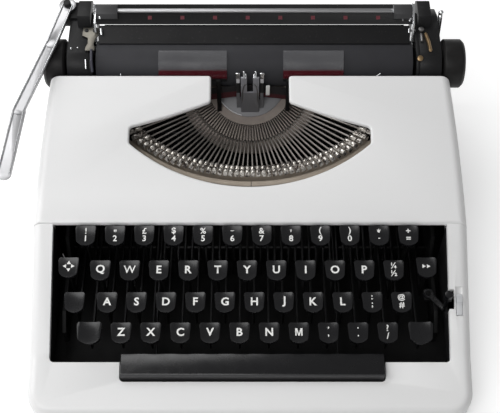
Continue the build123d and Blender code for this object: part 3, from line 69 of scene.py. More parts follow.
class Value:
    """A node's output that can be used in ordinary sums."""

    def __init__(self, tree, socket):
        self.tree = tree
        self.socket = socket

    def _maths(self, operation, first, second=None):
        """A Math node on one or two terms, each a value or a plain number."""
        node = self.tree.nodes.new("ShaderNodeMath")
        node.operation = operation
        for place, term in enumerate((first, second)):
            if term is None:
                continue
            if isinstance(term, Value):
                self.tree.links.new(term.socket, node.inputs[place])
            else:
                node.inputs[place].default_value = term
        return Value(self.tree, node.outputs[0])

    def __add__(self, other):
        return self._maths("ADD", self, other)

    def __radd__(self, other):
        return self._maths("ADD", other, self)

    def __sub__(self, other):
        return self._maths("SUBTRACT", self, other)

    def __rsub__(self, other):
        return self._maths("SUBTRACT", other, self)

    def __mul__(self, other):
        return self._maths("MULTIPLY", self, other)

    def __rmul__(self, other):
        return self._maths("MULTIPLY", other, self)

    def over(self, other):
        return self._maths("GREATER_THAN", self, other)

    def under(self, other):
        return self._maths("LESS_THAN", self, other)

    def size(self):
        return self._maths("ABSOLUTE", self)


class Finish:
    """A material under construction."""

    def __init__(self, name):
        self.material = bpy.data.materials.new(name)
        self.material.use_nodes = True
        self.tree = self.material.node_tree
        self.shader = self.tree.nodes["Principled BSDF"]

    def node(self, kind, settings=None, inputs=None, output=0):
        """Any node: its settings first, then the values or links of its sockets."""
        made = self.tree.nodes.new(kind)
        for key, value in (settings or {}).items():
            if key == "stops":
                ramp = made.color_ramp
                while len(ramp.elements) < len(value):
                    ramp.elements.new(0.5)
                for element, (place, colour) in zip(ramp.elements, value):
                    element.position = place
                    element.color = colour
            else:
                setattr(made, key, value)
        for key, value in (inputs or {}).items():
            if isinstance(value, Value):
                self.tree.links.new(value.socket, made.inputs[key])
            else:
                made.inputs[key].default_value = value
        return Value(self.tree, made.outputs[output])

    def place(self):
        """Object coordinates, in metres."""
        return self.node("ShaderNodeTexCoord", output="Object")

    def axis(self, place, name):
        return self.node("ShaderNodeSeparateXYZ", inputs={0: place}, output=name)

    def noise(self, scale, detail=3.0, rough=0.5):
        return self.node("ShaderNodeTexNoise", inputs={
            "Vector": self.place(), "Scale": scale, "Detail": detail, "Roughness": rough}, output="Fac")

    def stretch(self, value, low, high):
        """0 below low, 1 above high and even between them."""
        return self.node("ShaderNodeMapRange", {"clamp": True}, {
            "Value": value, "From Min": low, "From Max": high, "To Min": 0.0, "To Max": 1.0})

    def speckle(self, scale, low, high):
        """Sparse small spots, 0 between them and up to 1 inside."""
        return self.stretch(self.noise(scale, detail=2.0), low, high)

    def blend(self, factor, first, second):
        """The first colour where the factor is 0 and the second where it is 1."""
        return self.node("ShaderNodeMix", {"data_type": "RGBA"}, {0: factor, 6: first, 7: second}, output=2)

    def fixed(self, **values):
        """Shader values that are the same all over the surface."""
        for key, value in values.items():
            self.shader.inputs[key.replace("_", " ")].default_value = value

    def drive(self, socket, value):
        """A shader value that changes over the surface."""
        self.tree.links.new(value.socket, self.shader.inputs[socket])

    def relief(self, height, depth, strength):
        bump = self.node("ShaderNodeBump", inputs={"Strength": strength, "Distance": depth, "Height": height})
        self.drive("Normal", bump)


def rgb(r, g, b):
    return (r, g, b, 1.0)


# Keyboard well, in millimetres of the drawing: its inside and the sloping line of its rim, which bound the
# painted shade on the well's walls
WELL_HALF = 131.8
WELL_FRONT = 22.0
WELL_REAR = 119.0
RIM_FRONT_Y = 38.5
RIM_FRONT_Z = 30.5
RIM_SLOPE = 0.4509
SHADE_PAINT_DEPTH = 4.2


def case_enamel_and_well_shade():
    """Off-white stove enamel, with painted shade: black on the walls that go down inside the keyboard well.
    """
    f = Finish("case_enamel_and_well_shade")
    broad = f.noise(9.0, 2.0)
    dust = f.speckle(900.0, 0.68, 0.8)
    tint = f.blend(broad, rgb(0.775, 0.775, 0.778), rgb(0.815, 0.815, 0.812))
    pale = f.blend(dust * 0.2, tint, rgb(0.55, 0.54, 0.5))
    spot = f.place()
    across = (f.axis(spot, "X") - MIDDLE_X).size()
    along = f.axis(spot, "Y") - FRONT_Y
    rim = mm(RIM_FRONT_Z) + (along - mm(RIM_FRONT_Y)) * RIM_SLOPE
    # Painted shade: black on the well's walls more than the given depth below the rim's line
    inside = across.under(mm(WELL_HALF)) * along.over(mm(WELL_FRONT)) * along.under(mm(WELL_REAR))
    shaded_wall = (rim - f.axis(spot, "Z")).over(mm(SHADE_PAINT_DEPTH))
    f.drive("Base Color", f.blend(inside * shaded_wall, pale, rgb(0.014, 0.014, 0.015)))
    f.drive("Roughness", 0.32 + broad * 0.12)
    f.fixed(Metallic=0.0, IOR=1.5)
    f.relief(f.noise(650.0, 2.0), 0.00004, 0.35)
    return f.material


def black_enamel(name="black_enamel", base=0.01, gloss=0.34, dusty=1.0):
    """Black enamel on the carriage and the inner metalwork, a little dusty."""
    f = Finish(name)
    dust = f.speckle(700.0, 0.62, 0.8)
    wear = f.noise(45.0, 4.0)
    f.drive("Base Color", f.blend(
        dust * 0.3 * dusty + wear * 0.08 * dusty, rgb(base, base, base * 1.08),
        rgb(base + 0.06, base + 0.058, base + 0.056)))
    f.drive("Roughness", gloss + wear * 0.2)
    f.fixed(Specular_IOR_Level=0.2)
    f.relief(f.noise(900.0, 2.0), 0.00003, 0.4)
    return f.material


def key_plastic():
    """Glossy black key tops with finger smears and fine dust."""
    f = Finish("key_plastic")
    smear = f.noise(120.0, 3.0)
    dust = f.speckle(1600.0, 0.66, 0.8)
    f.drive("Base Color", f.blend(dust * 0.2, rgb(0.005, 0.005, 0.006), rgb(0.1, 0.1, 0.1)))
    f.drive("Roughness", 0.17 + smear * 0.18)
    f.fixed(Specular_IOR_Level=0.5)
    f.relief(smear, 0.00003, 0.3)
    return f.material


def legend_paint():
    """White of the moulded-in legends."""
    f = Finish("legend_paint")
    wear = f.noise(900.0, 3.0)
    f.drive("Base Color", f.blend(wear, rgb(0.9, 0.9, 0.88), rgb(0.74, 0.74, 0.72)))
    f.drive("Roughness", 0.4 + wear * 0.2)
    return f.material


def steel(name, light, dark, rough, metal=1.0):
    """Plated or plain steel with fine scratches and a little soil."""
    f = Finish(name)
    stain = f.noise(140.0, 4.0)
    scratch = f.noise(2600.0, 2.0)
    f.drive("Base Color", f.blend(stain, light, dark))
    f.fixed(Metallic=metal)
    f.drive("Roughness", rough + scratch * 0.18)
    f.relief(scratch, 0.00001, 0.4)
    return f.material


def banded(name, lowest, bands, rough):
    """Metal part in level bands: its lowest colour, then each band's from its own height up."""
    f = Finish(name)
    tone = lowest
    for level, colour in bands:
        tone = f.blend(f.axis(f.place(), "Z").over(mm(level)), tone, colour)
    f.drive("Base Color", tone)
    f.drive("Roughness", rough + f.noise(140.0, 4.0) * 0.15)
    f.fixed(Metallic=0.3)
    return f.material


def type_metal():
    """Type heads: bright spots on dark metal from a noise, painted highlights with painted shade between
    them.
    """
    f = Finish("type_metal")
    glint_noise = f.noise(420.0, 2.0)
    grain = f.noise(2600.0, 2.0)
    # Painted highlights and painted shade: bright where the noise is high, dark between
    painted_glint = f.stretch(glint_noise, 0.38, 0.56)
    f.drive("Base Color", f.blend(painted_glint, rgb(0.12, 0.1, 0.09), rgb(0.9, 0.86, 0.8)))
    f.fixed(Metallic=0.8)
    f.drive("Roughness", 0.16 + grain * 0.2)
    f.relief(glint_noise, 0.0004, 0.6)
    return f.material


def platen_rubber():
    """Ground rubber of the platen, nearly black with a greyish bloom."""
    f = Finish("platen_rubber")
    bloom = f.noise(60.0, 4.0)
    grain = f.noise(2400.0, 2.0)
    f.drive("Base Color", f.blend(bloom, rgb(0.027, 0.027, 0.03), rgb(0.042, 0.042, 0.047)))
    f.drive("Roughness", 0.5 + grain * 0.2)
    f.fixed(Specular_IOR_Level=0.2)
    f.relief(grain, 0.00003, 0.5)
    return f.material


def knob_plastic():
    """Satin black plastic of the platen's knobs."""
    f = Finish("knob_plastic")
    bloom = f.noise(200.0, 3.0)
    f.drive("Base Color", f.blend(bloom, rgb(0.007, 0.007, 0.007), rgb(0.016, 0.015, 0.015)))
    f.drive("Roughness", 0.36 + bloom * 0.2)
    f.fixed(Specular_IOR_Level=0.2)
    return f.material


def rest_felt():
    """Beige pad under the type heads."""
    f = Finish("rest_felt")
    fibre = f.noise(1500.0, 4.0, 0.7)
    glint_noise = f.noise(90.0, 3.0)
    f.drive("Base Color", f.blend(glint_noise, rgb(0.46, 0.4, 0.33), rgb(0.3, 0.25, 0.2)))
    f.drive("Roughness", 0.7 + fibre * 0.2)
    f.relief(fibre, 0.0002, 0.6)
    return f.material


RED_BAND_TOP = 88.6


def clear_plastic():
    """Smoky clear plastic of the card holders, with a red band along the foot."""
    f = Finish("clear_plastic")
    haze = f.noise(80.0, 3.0)
    low = f.axis(f.place(), "Z").under(mm(RED_BAND_TOP))
    smoke = f.blend(haze, rgb(0.16, 0.16, 0.17), rgb(0.24, 0.24, 0.25))
    f.drive("Base Color", f.blend(low, smoke, rgb(0.09, 0.006, 0.012)))
    f.drive("Alpha", 0.2 + haze * 0.1 + low * 0.3)
    f.fixed(Roughness=0.2, Specular_IOR_Level=0.25)
    return f.material


def flat_paint(name, first, second, rough):
    """Plain paint or plastic with a faint change of tone."""
    f = Finish(name)
    broad = f.noise(160.0, 3.0)
    f.drive("Base Color", f.blend(broad, first, second))
    f.drive("Roughness", rough + broad * 0.15)
    return f.material


def ribbon_cloth():
    """Inked ribbon: black above, red below."""
    f = Finish("ribbon_cloth")
    split = f.node("ShaderNodeAttribute", {"attribute_name": "height_share"}, output="Fac")
    weave = f.noise(3000.0, 2.0)
    f.drive("Base Color", f.blend(split.over(0.5), rgb(0.05, 0.005, 0.008), rgb(0.01, 0.009, 0.01)))
    f.drive("Roughness", 0.75 + weave * 0.15)
    f.relief(weave, 0.00005, 0.5)
    return f.material


def foot_rubber():
    """Dull rubber of the feet."""
    f = Finish("foot_rubber")
    grain = f.noise(1200.0, 3.0)
    f.drive("Base Color", f.blend(grain, rgb(0.02, 0.02, 0.02), rgb(0.045, 0.044, 0.042)))
    f.drive("Roughness", 0.75 + grain * 0.15)
    f.relief(grain, 0.0001, 0.4)
    return f.material


ENAMEL = case_enamel_and_well_shade()
BLACK = black_enamel()
INNER = black_enamel("inner_black", 0.004, 0.5, 0.25)
BLUEBLACK = flat_paint("end_plate_paint", rgb(0.03, 0.03, 0.045), rgb(0.045, 0.045, 0.06), 0.28)
OLIVE = steel("bracket_metal", rgb(0.2, 0.19, 0.16), rgb(0.12, 0.11, 0.1), 0.3)
BRASS = steel("brass_screw", rgb(0.42, 0.29, 0.16), rgb(0.26, 0.18, 0.1), 0.32)
LEVER = steel("lever_metal", rgb(0.05, 0.05, 0.052), rgb(0.02, 0.02, 0.02), 0.38)
RED = flat_paint("scale_red", rgb(0.14, 0.02, 0.03), rgb(0.1, 0.012, 0.02), 0.45)
PALE = flat_paint("pale_plastic", rgb(0.6, 0.61, 0.63), rgb(0.66, 0.67, 0.68), 0.35)
GREY = flat_paint("grey_end_pieces", rgb(0.03, 0.03, 0.032), rgb(0.042, 0.042, 0.044), 0.4)
KEYS = key_plastic()
LEGEND = legend_paint()
STEEL = steel("plain_steel", rgb(0.32, 0.32, 0.33), rgb(0.2, 0.19, 0.18), 0.34)
DARK_STEEL = steel("dark_steel", rgb(0.06, 0.06, 0.062), rgb(0.03, 0.03, 0.03), 0.4)
BARS = steel("bar_steel", rgb(0.8, 0.76, 0.72), rgb(0.5, 0.45, 0.41), 0.26, 0.6)
HEADS = type_metal()
BRONZE = steel("segment_metal", rgb(0.26, 0.225, 0.2), rgb(0.17, 0.145, 0.13), 0.42, 0.6)
PLATE = flat_paint("plate_enamel", rgb(0.17, 0.17, 0.18), rgb(0.21, 0.21, 0.22), 0.4)
GUIDE = banded("guide_metal", rgb(0.17, 0.17, 0.18), ((71.7, rgb(0.26, 0.26, 0.28)),), 0.34)
CARRIER = banded("carrier_metal", rgb(0.17, 0.17, 0.18), (
    (69.0, rgb(0.02, 0.02, 0.02)), (80.0, rgb(0.6, 0.6, 0.62))), 0.24)
CHROME = steel("chrome", rgb(0.86, 0.87, 0.88), rgb(0.74, 0.75, 0.77), 0.1)
SATIN = steel("satin_chrome", rgb(0.5, 0.5, 0.51), rgb(0.42, 0.42, 0.43), 0.3)
SPOOL = steel("spool_metal", rgb(0.6, 0.6, 0.6), rgb(0.5, 0.5, 0.5), 0.3)
RUBBER = platen_rubber()
KNOB = knob_plastic()
FELT = rest_felt()
CLEAR = clear_plastic()
RIBBON = ribbon_cloth()
FOOT = foot_rubber()

# The record's body for each node, which the new pieces join
BODY_OF = {
    node: body for body, nodes in frame["record"]["behaviour"]["bodies"].items() for node in nodes}


# Making pieces


def nothing_selected():
    if bpy.context.object and bpy.context.object.mode != "OBJECT":
        bpy.ops.object.mode_set(mode="OBJECT")
    bpy.ops.object.select_all(action="DESELECT")


def only(piece):
    """Select this piece alone."""
    nothing_selected()
    piece.select_set(True)
    bpy.context.view_layer.objects.active = piece


def settle(piece):
    """Put the piece's place into its mesh."""
    only(piece)
    bpy.ops.object.transform_apply(location=True, rotation=True, scale=True)


SHARP_ANGLE = math.radians(30.0)


def bevelled(piece, width, spared=None):
    """Soften the sharp edges, apart from those that reach into the spared range of y, in metres."""
    only(piece)
    edge = piece.modifiers.new("edge", "BEVEL")
    edge.width = width
    edge.segments = 2
    edge.limit_method = "ANGLE"
    edge.angle_limit = SHARP_ANGLE
    if spared:
        bpy.ops.object.mode_set(mode="EDIT")
        bpy.ops.mesh.select_mode(type="EDGE")
        bpy.ops.mesh.select_all(action="DESELECT")
        bpy.ops.mesh.edges_select_sharp(sharpness=SHARP_ANGLE)
        bpy.ops.object.mode_set(mode="OBJECT")
        mesh = piece.data
        weights = mesh.attributes.new("bevel_weight_edge", "FLOAT", "EDGE")
        for weight, side in zip(weights.data, mesh.edges):
            hinged = any(spared[0] < mesh.vertices[i].co.y < spared[1] for i in side.vertices)
            weight.value = 1.0 if side.select and not hinged else 0.0
        edge.limit_method = "WEIGHT"
    edge.use_clamp_overlap = True
    bpy.ops.object.modifier_apply(modifier=edge.name)


def smooth(piece, angle=30.0):
    only(piece)
    bpy.ops.object.shade_smooth_by_angle(angle=math.radians(angle))


def finish_piece(piece, body, material, stands_for=()):
    """Give the piece its finish and its body, and the nodes that it stands for."""
    piece.data.materials.clear()
    piece.data.materials.append(material)
    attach(piece, body)
    if stands_for:
        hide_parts(*stands_for)
    return piece


def new_piece(name):
    """The object that the last operator added, under its own name."""
    piece = bpy.context.object
    piece.name = name
    piece.data.name = name
    return piece


def joined(name, pieces):
    nothing_selected()
    for piece in pieces:
        piece.select_set(True)
    bpy.context.view_layer.objects.active = pieces[0]
    bpy.ops.object.join()
    return new_piece(name)


WELD_DISTANCE = 0.000004
FLAT_ANGLE = math.radians(1.5)


def dressed_copy(node, name, material, bevel=0.0, angle=30.0, spared=None):
    """The node's own shape, welded, with soft edges and smooth curves, in its place."""
    source = frame["nodes"][node]
    mesh = source.data.copy()
    mesh.name = name
    piece = bpy.data.objects.new(name, mesh)
    bpy.context.scene.collection.objects.link(piece)
    only(piece)
    bpy.ops.object.mode_set(mode="EDIT")
    bpy.ops.mesh.select_all(action="SELECT")
    bpy.ops.mesh.remove_doubles(threshold=WELD_DISTANCE)
    bpy.ops.mesh.dissolve_limited(angle_limit=FLAT_ANGLE)
    bpy.ops.object.mode_set(mode="OBJECT")
    if mesh.attributes.get("custom_normal"):
        bpy.ops.mesh.customdata_custom_splitnormals_clear()
    if bevel:
        bevelled(piece, bevel, spared=spared)
    smooth(piece, angle)
    return finish_piece(piece, BODY_OF[node], material, stands_for=(node,))


# Node, name of its dressed copy, finish and width of its soft edges in millimetres
DRESS = (
    ("top_case", "case_shell", ENAMEL, 0.5),
    ("ribbon_cover", "cover_shell", ENAMEL, 0.5),
    ("lower_case", "base_pan", INNER, 0.0),
    ("rubber_feet", "feet", FOOT, 0.6),
    ("main_frame", "inner_frame", INNER, 0.2),
    ("key_fulcrum", "fulcrum_and_comb", DARK_STEEL, 0.0),
    ("type_segment", "slotted_segment", BRONZE, 0.0),
    ("segment_plate", "segment_cap", PLATE, 0.25),
    ("type_bars", "type_bar_fan", BARS, 0.0),
    ("type_bar_h", "type_bar_of_h", BARS, 0.0),
    ("type_rest", "type_pad", FELT, 0.6),
    ("type_guide", "type_fork", GUIDE, 0.25),
    ("ribbon_vibrator", "ribbon_carrier", CARRIER, 0.2),
    ("card_holders", "clear_holders", CLEAR, 0.2),
    ("spool_left", "left_spool", SPOOL, 0.2),
    ("spool_right", "right_spool", SPOOL, 0.2),
    ("carriage_rail", "rail", DARK_STEEL, 0.2),
    ("carriage_frame", "carriage_body", BLACK, 0.3),
    ("carriage_end_covers", "end_covers", BLACK, 0.8),
    ("platen_roller", "platen", RUBBER, 0.3),
    ("platen_knobs", "knobs", KNOB, 0.3),
    ("paper_table", "paper_rest", BLACK, 0.3),
    ("paper_bail", "bail", BLACK, 0.2),
    ("paper_release_lever", "release_lever", CHROME, 0.3),
    ("return_lever", "line_lever", SATIN, 0.3),
    ("space_bar", "space_bar_top", KEYS, 0.4),
    ("ribbon_selector", "selector", KEYS, 0.3),
    ("rail_slider", "slider", PALE, 0.2),
)

# Case and cover pass each other closely round the hinge, so their edges stay sharp there
HINGE_RANGE = (at(0.0, 106.0, 0.0).y, at(0.0, 148.0, 0.0).y)

PIECES = {}
for node, name, material, bevel in DRESS:
    PIECES[node] = dressed_copy(
        node, name, material, mm(bevel), angle=40.0 if node == "return_lever" else 30.0,
        spared=HINGE_RANGE if node in ("top_case", "ribbon_cover") else None)

OTHER_KEYS = ("figure_keys", "shift_keys", "shift_lock_key", "margin_release_key", "backspace_key")
LETTER_NODES = ["key_" + letter for letter in "abcdefghijklmnopqrstuvwxyz"]
KEY_NODES = [node for node in frame["nodes"] if node in LETTER_NODES or node in OTHER_KEYS]
KEY_EDGE = 0.45
for node in KEY_NODES:
    PIECES[node] = dressed_copy(node, node + "_top", KEYS, mm(KEY_EDGE))


def loose_parts(piece):
    """Lists of the piece's faces, one list for each part that hangs together."""
    mesh = piece.data
    group = list(range(len(mesh.vertices)))

    def root(i):
        while group[i] != i:
            group[i] = group[group[i]]
            i = group[i]
        return i

    for edge in mesh.edges:
        first, second = root(edge.vertices[0]), root(edge.vertices[1])
        if first != second:
            group[second] = first
    parts = {}
    for face in mesh.polygons:
        parts.setdefault(root(face.vertices[0]), []).append(face)
    return list(parts.values())


def repaint(piece, material, chosen):
    """Give the chosen faces a material of their own."""
    piece.data.materials.append(material)
    place = len(piece.data.materials) - 1
    for face in piece.data.polygons:
        if chosen(face):
            face.material_index = place


def spot_of(face):
    """A face's middle in the machine's drawing, in millimetres."""
    return ((face.center.x - MIDDLE_X) * 1000, (face.center.y - FRONT_Y) * 1000, face.center.z * 1000)


# The card holders stand on dark posts, in front of this y and below this z
POST_REAR = 225.3
POST_TOP = 83.2
repaint(
    PIECES["card_holders"], INNER, lambda face: spot_of(face)[1] < POST_REAR and spot_of(face)[2] < POST_TOP)

# The levers under the key tops are steel: they are the parts that are longer than any key top
LONGEST_TOP = 50.0
for node in ["space_bar", *KEY_NODES]:
    levers = set()
    for part in loose_parts(PIECES[node]):
        reach = [face.center.y for face in part]
        if max(reach) - min(reach) > mm(LONGEST_TOP):
            levers.update(face.index for face in part)
    repaint(PIECES[node], LEVER, lambda face: face.index in levers)

# Type heads are the last stretch of each bar, seen from the middle of the segment
SEGMENT_MIDDLE = at(0.0, 242.0, 56.0)
HEAD_LENGTH = 12.4
CHARACTER_PLACES = (-2.6, 3.2)
CHARACTER_HALF_SIZE = (1.45, 2.5, 1.3)
CHARACTER_RISE = 1.3


def type_bumps(node, piece, heads):
    """Two rounded characters, capital and small, on the upper side of each bar's head."""
    bumps = []
    for part in loose_parts(piece):
        tops = [face for face in part if face.index in heads]
        near = min(tops, key=lambda face: (face.center - SEGMENT_MIDDLE).length).center
        far = max(tops, key=lambda face: (face.center - SEGMENT_MIDDLE).length).center
        way = (far - near).normalized()
        middle = (near + far) / 2
        up = Vector((0.0, 0.0, 1.0)) - way * way.z
        turn = way.to_track_quat("Y", "Z")
        for along in CHARACTER_PLACES:
            if bumps:
                bump = bumps[0].copy()
                bump.data = bumps[0].data.copy()
                bpy.context.scene.collection.objects.link(bump)
            else:
                nothing_selected()
                bpy.ops.mesh.primitive_uv_sphere_add(segments=10, ring_count=6, radius=1.0)
                bump = bpy.context.object
            bump.scale = [mm(half) for half in CHARACTER_HALF_SIZE]
            bump.rotation_mode = "QUATERNION"
            bump.rotation_quaternion = turn
            bump.location = middle + way * mm(along) + up * mm(CHARACTER_RISE)
            bumps.append(bump)
    group = joined(node + "_characters", bumps)
    settle(group)
    smooth(group, 60)
    finish_piece(group, BODY_OF[node], HEADS)


for node in ("type_bars", "type_bar_h"):
    heads = set()
    for part in loose_parts(PIECES[node]):
        reach = [(face.center - SEGMENT_MIDDLE).length for face in part]
        heads.update(face.index for face, far in zip(part, reach) if far > max(reach) - mm(HEAD_LENGTH))
    repaint(PIECES[node], HEADS, lambda face: face.index in heads)
    type_bumps(node, PIECES[node], heads)

# Front faces of the space bar and the lower pieces of the shift keys get a lighter grey: painted light on the
# faces towards the front
# Painted light: a lighter grey on faces that look to the front
repaint(PIECES["space_bar"], GREY, lambda face: face.normal.y < -0.6)
repaint(PIECES["shift_keys"], GREY, lambda face: face.normal.y < -0.8 and spot_of(face)[1] < 45.0)

# The ribbon falls from the printing point to the spools, and its upper half is black
RIBBON_FOOT = 62.0
RIBBON_FALL = 11.7
FALL_START = 9.6
FALL_LENGTH = 62.4
RIBBON_HALF = 6.0
ribbon_piece = dressed_copy("ribbon", "inked_ribbon", RIBBON)
share = ribbon_piece.data.attributes.new("height_share", "FLOAT", "POINT")
for spot, vertex in zip(share.data, ribbon_piece.data.vertices):
    reach = abs(vertex.co.x - MIDDLE_X) * 1000
    low = RIBBON_FOOT - max(0.0, min(1.0, (reach - FALL_START) / FALL_LENGTH)) * RIBBON_FALL
    spot.value = 1.0 if vertex.co.z * 1000 > low + RIBBON_HALF else 0.0


# Legends of the keys, plain white letters and signs


CAP_TILT = math.radians(9.0)
CAP_DISH_RADIUS = 24.0
CAP_DISH_LEVEL = 23.1
LEGEND_LIFT = 0.05
KEY_PITCH = 19.05
ROW_START = (-106.7, -97.175, -92.4125, -82.8875)
ROW_Y = (107.0, 87.8, 69.0, 50.5)
ROW_TOP = (69.5, 57.6, 49.0, 42.3)


def on_cap(piece, x, y, top):
    """Lay a flat sign, drawn round the origin in metres, on the dished top of a key."""
    for vertex in piece.data.vertices:
        u, v = vertex.co.x * 1000, vertex.co.y * 1000
        dish = CAP_DISH_LEVEL - math.sqrt(CAP_DISH_RADIUS ** 2 - u * u) + LEGEND_LIFT
        vertex.co = at(
            x + u, y + v * math.cos(CAP_TILT) - dish * math.sin(CAP_TILT),
            top + v * math.sin(CAP_TILT) + dish * math.cos(CAP_TILT))
    only(piece)


CAPITAL_SHARE = 0.686


def sign(name, text, height, v, bold):
    """One flat sign as a mesh, its capitals as high as told, centred v millimetres behind the origin."""
    nothing_selected()
    bpy.ops.object.text_add(location=(0, 0, 0))
    words = bpy.context.object
    words.data.body = text
    words.data.size = mm(height) / CAPITAL_SHARE
    words.data.offset = bold * mm(height)
    words.data.resolution_u = 3
    bpy.ops.object.convert(target="MESH")
    piece = new_piece(name)
    xs = [vertex.co.x for vertex in piece.data.vertices]
    ys = [vertex.co.y for vertex in piece.data.vertices]
    middle_x = (min(xs) + max(xs)) / 2
    middle_y = (min(ys) + max(ys)) / 2
    for vertex in piece.data.vertices:
        vertex.co.x = vertex.co.x - middle_x
        vertex.co.y = vertex.co.y - middle_y + mm(v)
    return piece


def key_place(row, column):
    """Middle and top of a key, in millimetres."""
    return ROW_START[row] + KEY_PITCH * column, ROW_Y[row], ROW_TOP[row]


NUMBER_SIGNS = (
    ("!", "1"), ("\"", "2"), ("\u00a3", "3"), ("$", "4"), ("%", "5"), ("_", "6"), ("&", "7"), ("'", "8"),
    ("(", "9"), (")", "0"), ("*", "-"), ("+", "="))
SIGN_KEYS = [(0, column, upper, lower) for column, (upper, lower) in enumerate(NUMBER_SIGNS)]
SIGN_KEYS += [
    (1, 10, "\u00bc", "\u00bd"), (2, 9, ":", ";"), (2, 10, "@", "#"), (3, 7, ",", ","), (3, 8, ".", "."),
    (3, 9, "?", "/")]
UPPER_V = 3.3
LOWER_V = -1.9
SIGN_HEIGHT = 3.9
SHORT_SIGNS = {"_": 3.0, "-": 3.0, "@": 3.3}
small_signs = []
for row, column, upper, lower in SIGN_KEYS:
    for text, v in ((upper, UPPER_V), (lower, LOWER_V)):
        piece = sign("sign", text, SHORT_SIGNS.get(text, SIGN_HEIGHT), v, 0.03)
        on_cap(piece, *key_place(row, column))
        small_signs.append(piece)
finish_piece(joined("legends_of_signs", small_signs), BODY_OF["figure_keys"], LEGEND)


def outline_piece(name, points):
    """A flat face through the points, in metres."""
    nothing_selected()
    bpy.ops.mesh.primitive_circle_add(vertices=len(points), radius=0.01, fill_type="NGON")
    piece = new_piece(name)
    for vertex, point in zip(piece.data.vertices, points):
        vertex.co = point
    return piece


def outline_sign(name, corners, u, v):
    """A flat sign drawn round (u, v) in millimetres."""
    return outline_piece(name, [(mm(x + u), mm(y + v), 0.0) for x, y in corners])


def turned(corners, quarters):
    """The corners after so many quarter turns to the left."""
    for _ in range(quarters):
        corners = [(-y, x) for x, y in corners]
    return corners


# The font's M closes up when it is made bold, so it is drawn by its corners
LETTER_M = (
    (-2.35, -2.5), (-1.45, -2.5), (-1.45, 0.9), (-0.4, -2.5), (0.4, -2.5), (1.45, 0.9), (1.45, -2.5),
    (2.35, -2.5), (2.35, 2.5), (1.1, 2.5), (0.0, -1.0), (-1.1, 2.5), (-2.35, 2.5))
LETTER_HEIGHT = 5.0
LETTER_V = 0.6
for row, letters in enumerate(("qwertyuiop", "asdfghjkl", "zxcvbnm")):
    for column, letter in enumerate(letters):
        name = "legend_" + letter
        if letter == "m":
            piece = outline_sign(name, LETTER_M, 0.0, LETTER_V)
        else:
            piece = sign(name, letter.upper(), LETTER_HEIGHT, LETTER_V, 0.015 if letter == "w" else 0.04)
        on_cap(piece, *key_place(row + 1, column))
        finish_piece(piece, BODY_OF["key_" + letter], LEGEND)

# Arrowheads of the margin release and backspace keys: quarter turns, u and v of each
ARROW = ((-1.35, -1.1), (1.35, -1.1), (0.0, 1.2))
SIDE_KEY_Y = 90.0
ARROW_SIGNS = (
    ("legend_margin_release", "margin_release_key", -118.0,
     ((0, 0.0, 3.4), (1, -2.7, 0.8), (2, 0.0, -1.8), (3, 2.7, 0.8))),
    ("legend_backspace", "backspace_key", 114.8, ((3, -1.6, 0.8), (3, 1.4, 0.8))))
for name, node, x, arrows in ARROW_SIGNS:
    piece = joined(name, [outline_sign("arrow", turned(ARROW, quarters), u, v) for quarters, u, v in arrows])
    on_cap(piece, x, SIDE_KEY_Y, ROW_TOP[1])
    finish_piece(piece, BODY_OF[node], LEGEND)


# Small pieces of the carriage and the printing point


def block_piece(name, low, high, edge=0.0):
    """Box between two corners of the machine's drawing, in millimetres."""
    nothing_selected()
    bpy.ops.mesh.primitive_cube_add(size=1.0)
    piece = new_piece(name)
    first, second = at(*low), at(*high)
    piece.location = (first + second) / 2
    piece.scale = second - first
    settle(piece)
    if edge:
        bevelled(piece, mm(edge))
    smooth(piece)
    return piece


def rod_piece(name, start, stop, radius, sides=16, edge=0.0):
    """Round rod between two points of the machine's drawing, in millimetres."""
    nothing_selected()
    first, second = at(*start), at(*stop)
    way = second - first
    bpy.ops.mesh.primitive_cylinder_add(
        vertices=sides, radius=mm(radius), depth=way.length, location=(first + second) / 2)
    piece = new_piece(name)
    piece.rotation_euler = way.to_track_quat("Z", "Y").to_euler()
    settle(piece)
    if edge:
        bevelled(piece, mm(edge))
    smooth(piece, 40)
    return piece


def slab(name, axis, corners, start, stop, edge=0.0):
    """Flat plate: its outline lies across the x or z axis, and it goes from start to stop along it."""
    if axis == "x":
        points = [at(start, a, b) for a, b in corners]
        push = (mm(stop - start), 0.0, 0.0)
    else:
        points = [at(a, b, start) for a, b in corners]
        push = (0.0, 0.0, mm(stop - start))
    piece = outline_piece(name, points)
    only(piece)
    bpy.ops.object.mode_set(mode="EDIT")
    bpy.ops.mesh.select_all(action="SELECT")
    bpy.ops.mesh.extrude_region_move(TRANSFORM_OT_translate={"value": push})
    bpy.ops.mesh.select_all(action="SELECT")
    bpy.ops.mesh.normals_make_consistent(inside=False)
    bpy.ops.object.mode_set(mode="OBJECT")
    if edge:
        bevelled(piece, mm(edge))
    smooth(piece)
    return piece


def ball_piece(name, spot, radius, sides=12):
    nothing_selected()
    bpy.ops.mesh.primitive_uv_sphere_add(
        segments=sides, ring_count=6, radius=mm(radius), location=at(*spot))
    piece = new_piece(name)
    settle(piece)
    smooth(piece, 60)
    return piece


def bent_rod(name, spots, radius, sides=10):
    """Thin rod through the spots, with a ball at each bend and end."""
    rods = [rod_piece(name, first, second, radius, sides) for first, second in zip(spots[:-1], spots[1:])]
    balls = [ball_piece(name, spot, radius, sides) for spot in spots]
    return joined(name, rods + balls)


# Paper bail: bright rod and arms, grey end pieces and red scale marks
CARRIAGE_X = 3.0
ARMS_FROM = 110.9
BAIL_ROD_Y = 267.0
BAIL_ROD_Z = 106.8
BAIL_ROD_REACH = 1.9


def from_carriage(face):
    """How far a face lies to either side of the carriage's middle."""
    return abs(spot_of(face)[0] - CARRIAGE_X)


def from_bail_rod(face):
    """How far a face lies from the middle line of the bail's rod."""
    return math.hypot(spot_of(face)[1] - BAIL_ROD_Y, spot_of(face)[2] - BAIL_ROD_Z)


bail = PIECES["paper_bail"]
repaint(bail, CHROME, lambda face: from_carriage(face) > ARMS_FROM)
repaint(bail, SATIN, lambda face: from_carriage(face) < ARMS_FROM and from_bail_rod(face) < BAIL_ROD_REACH)

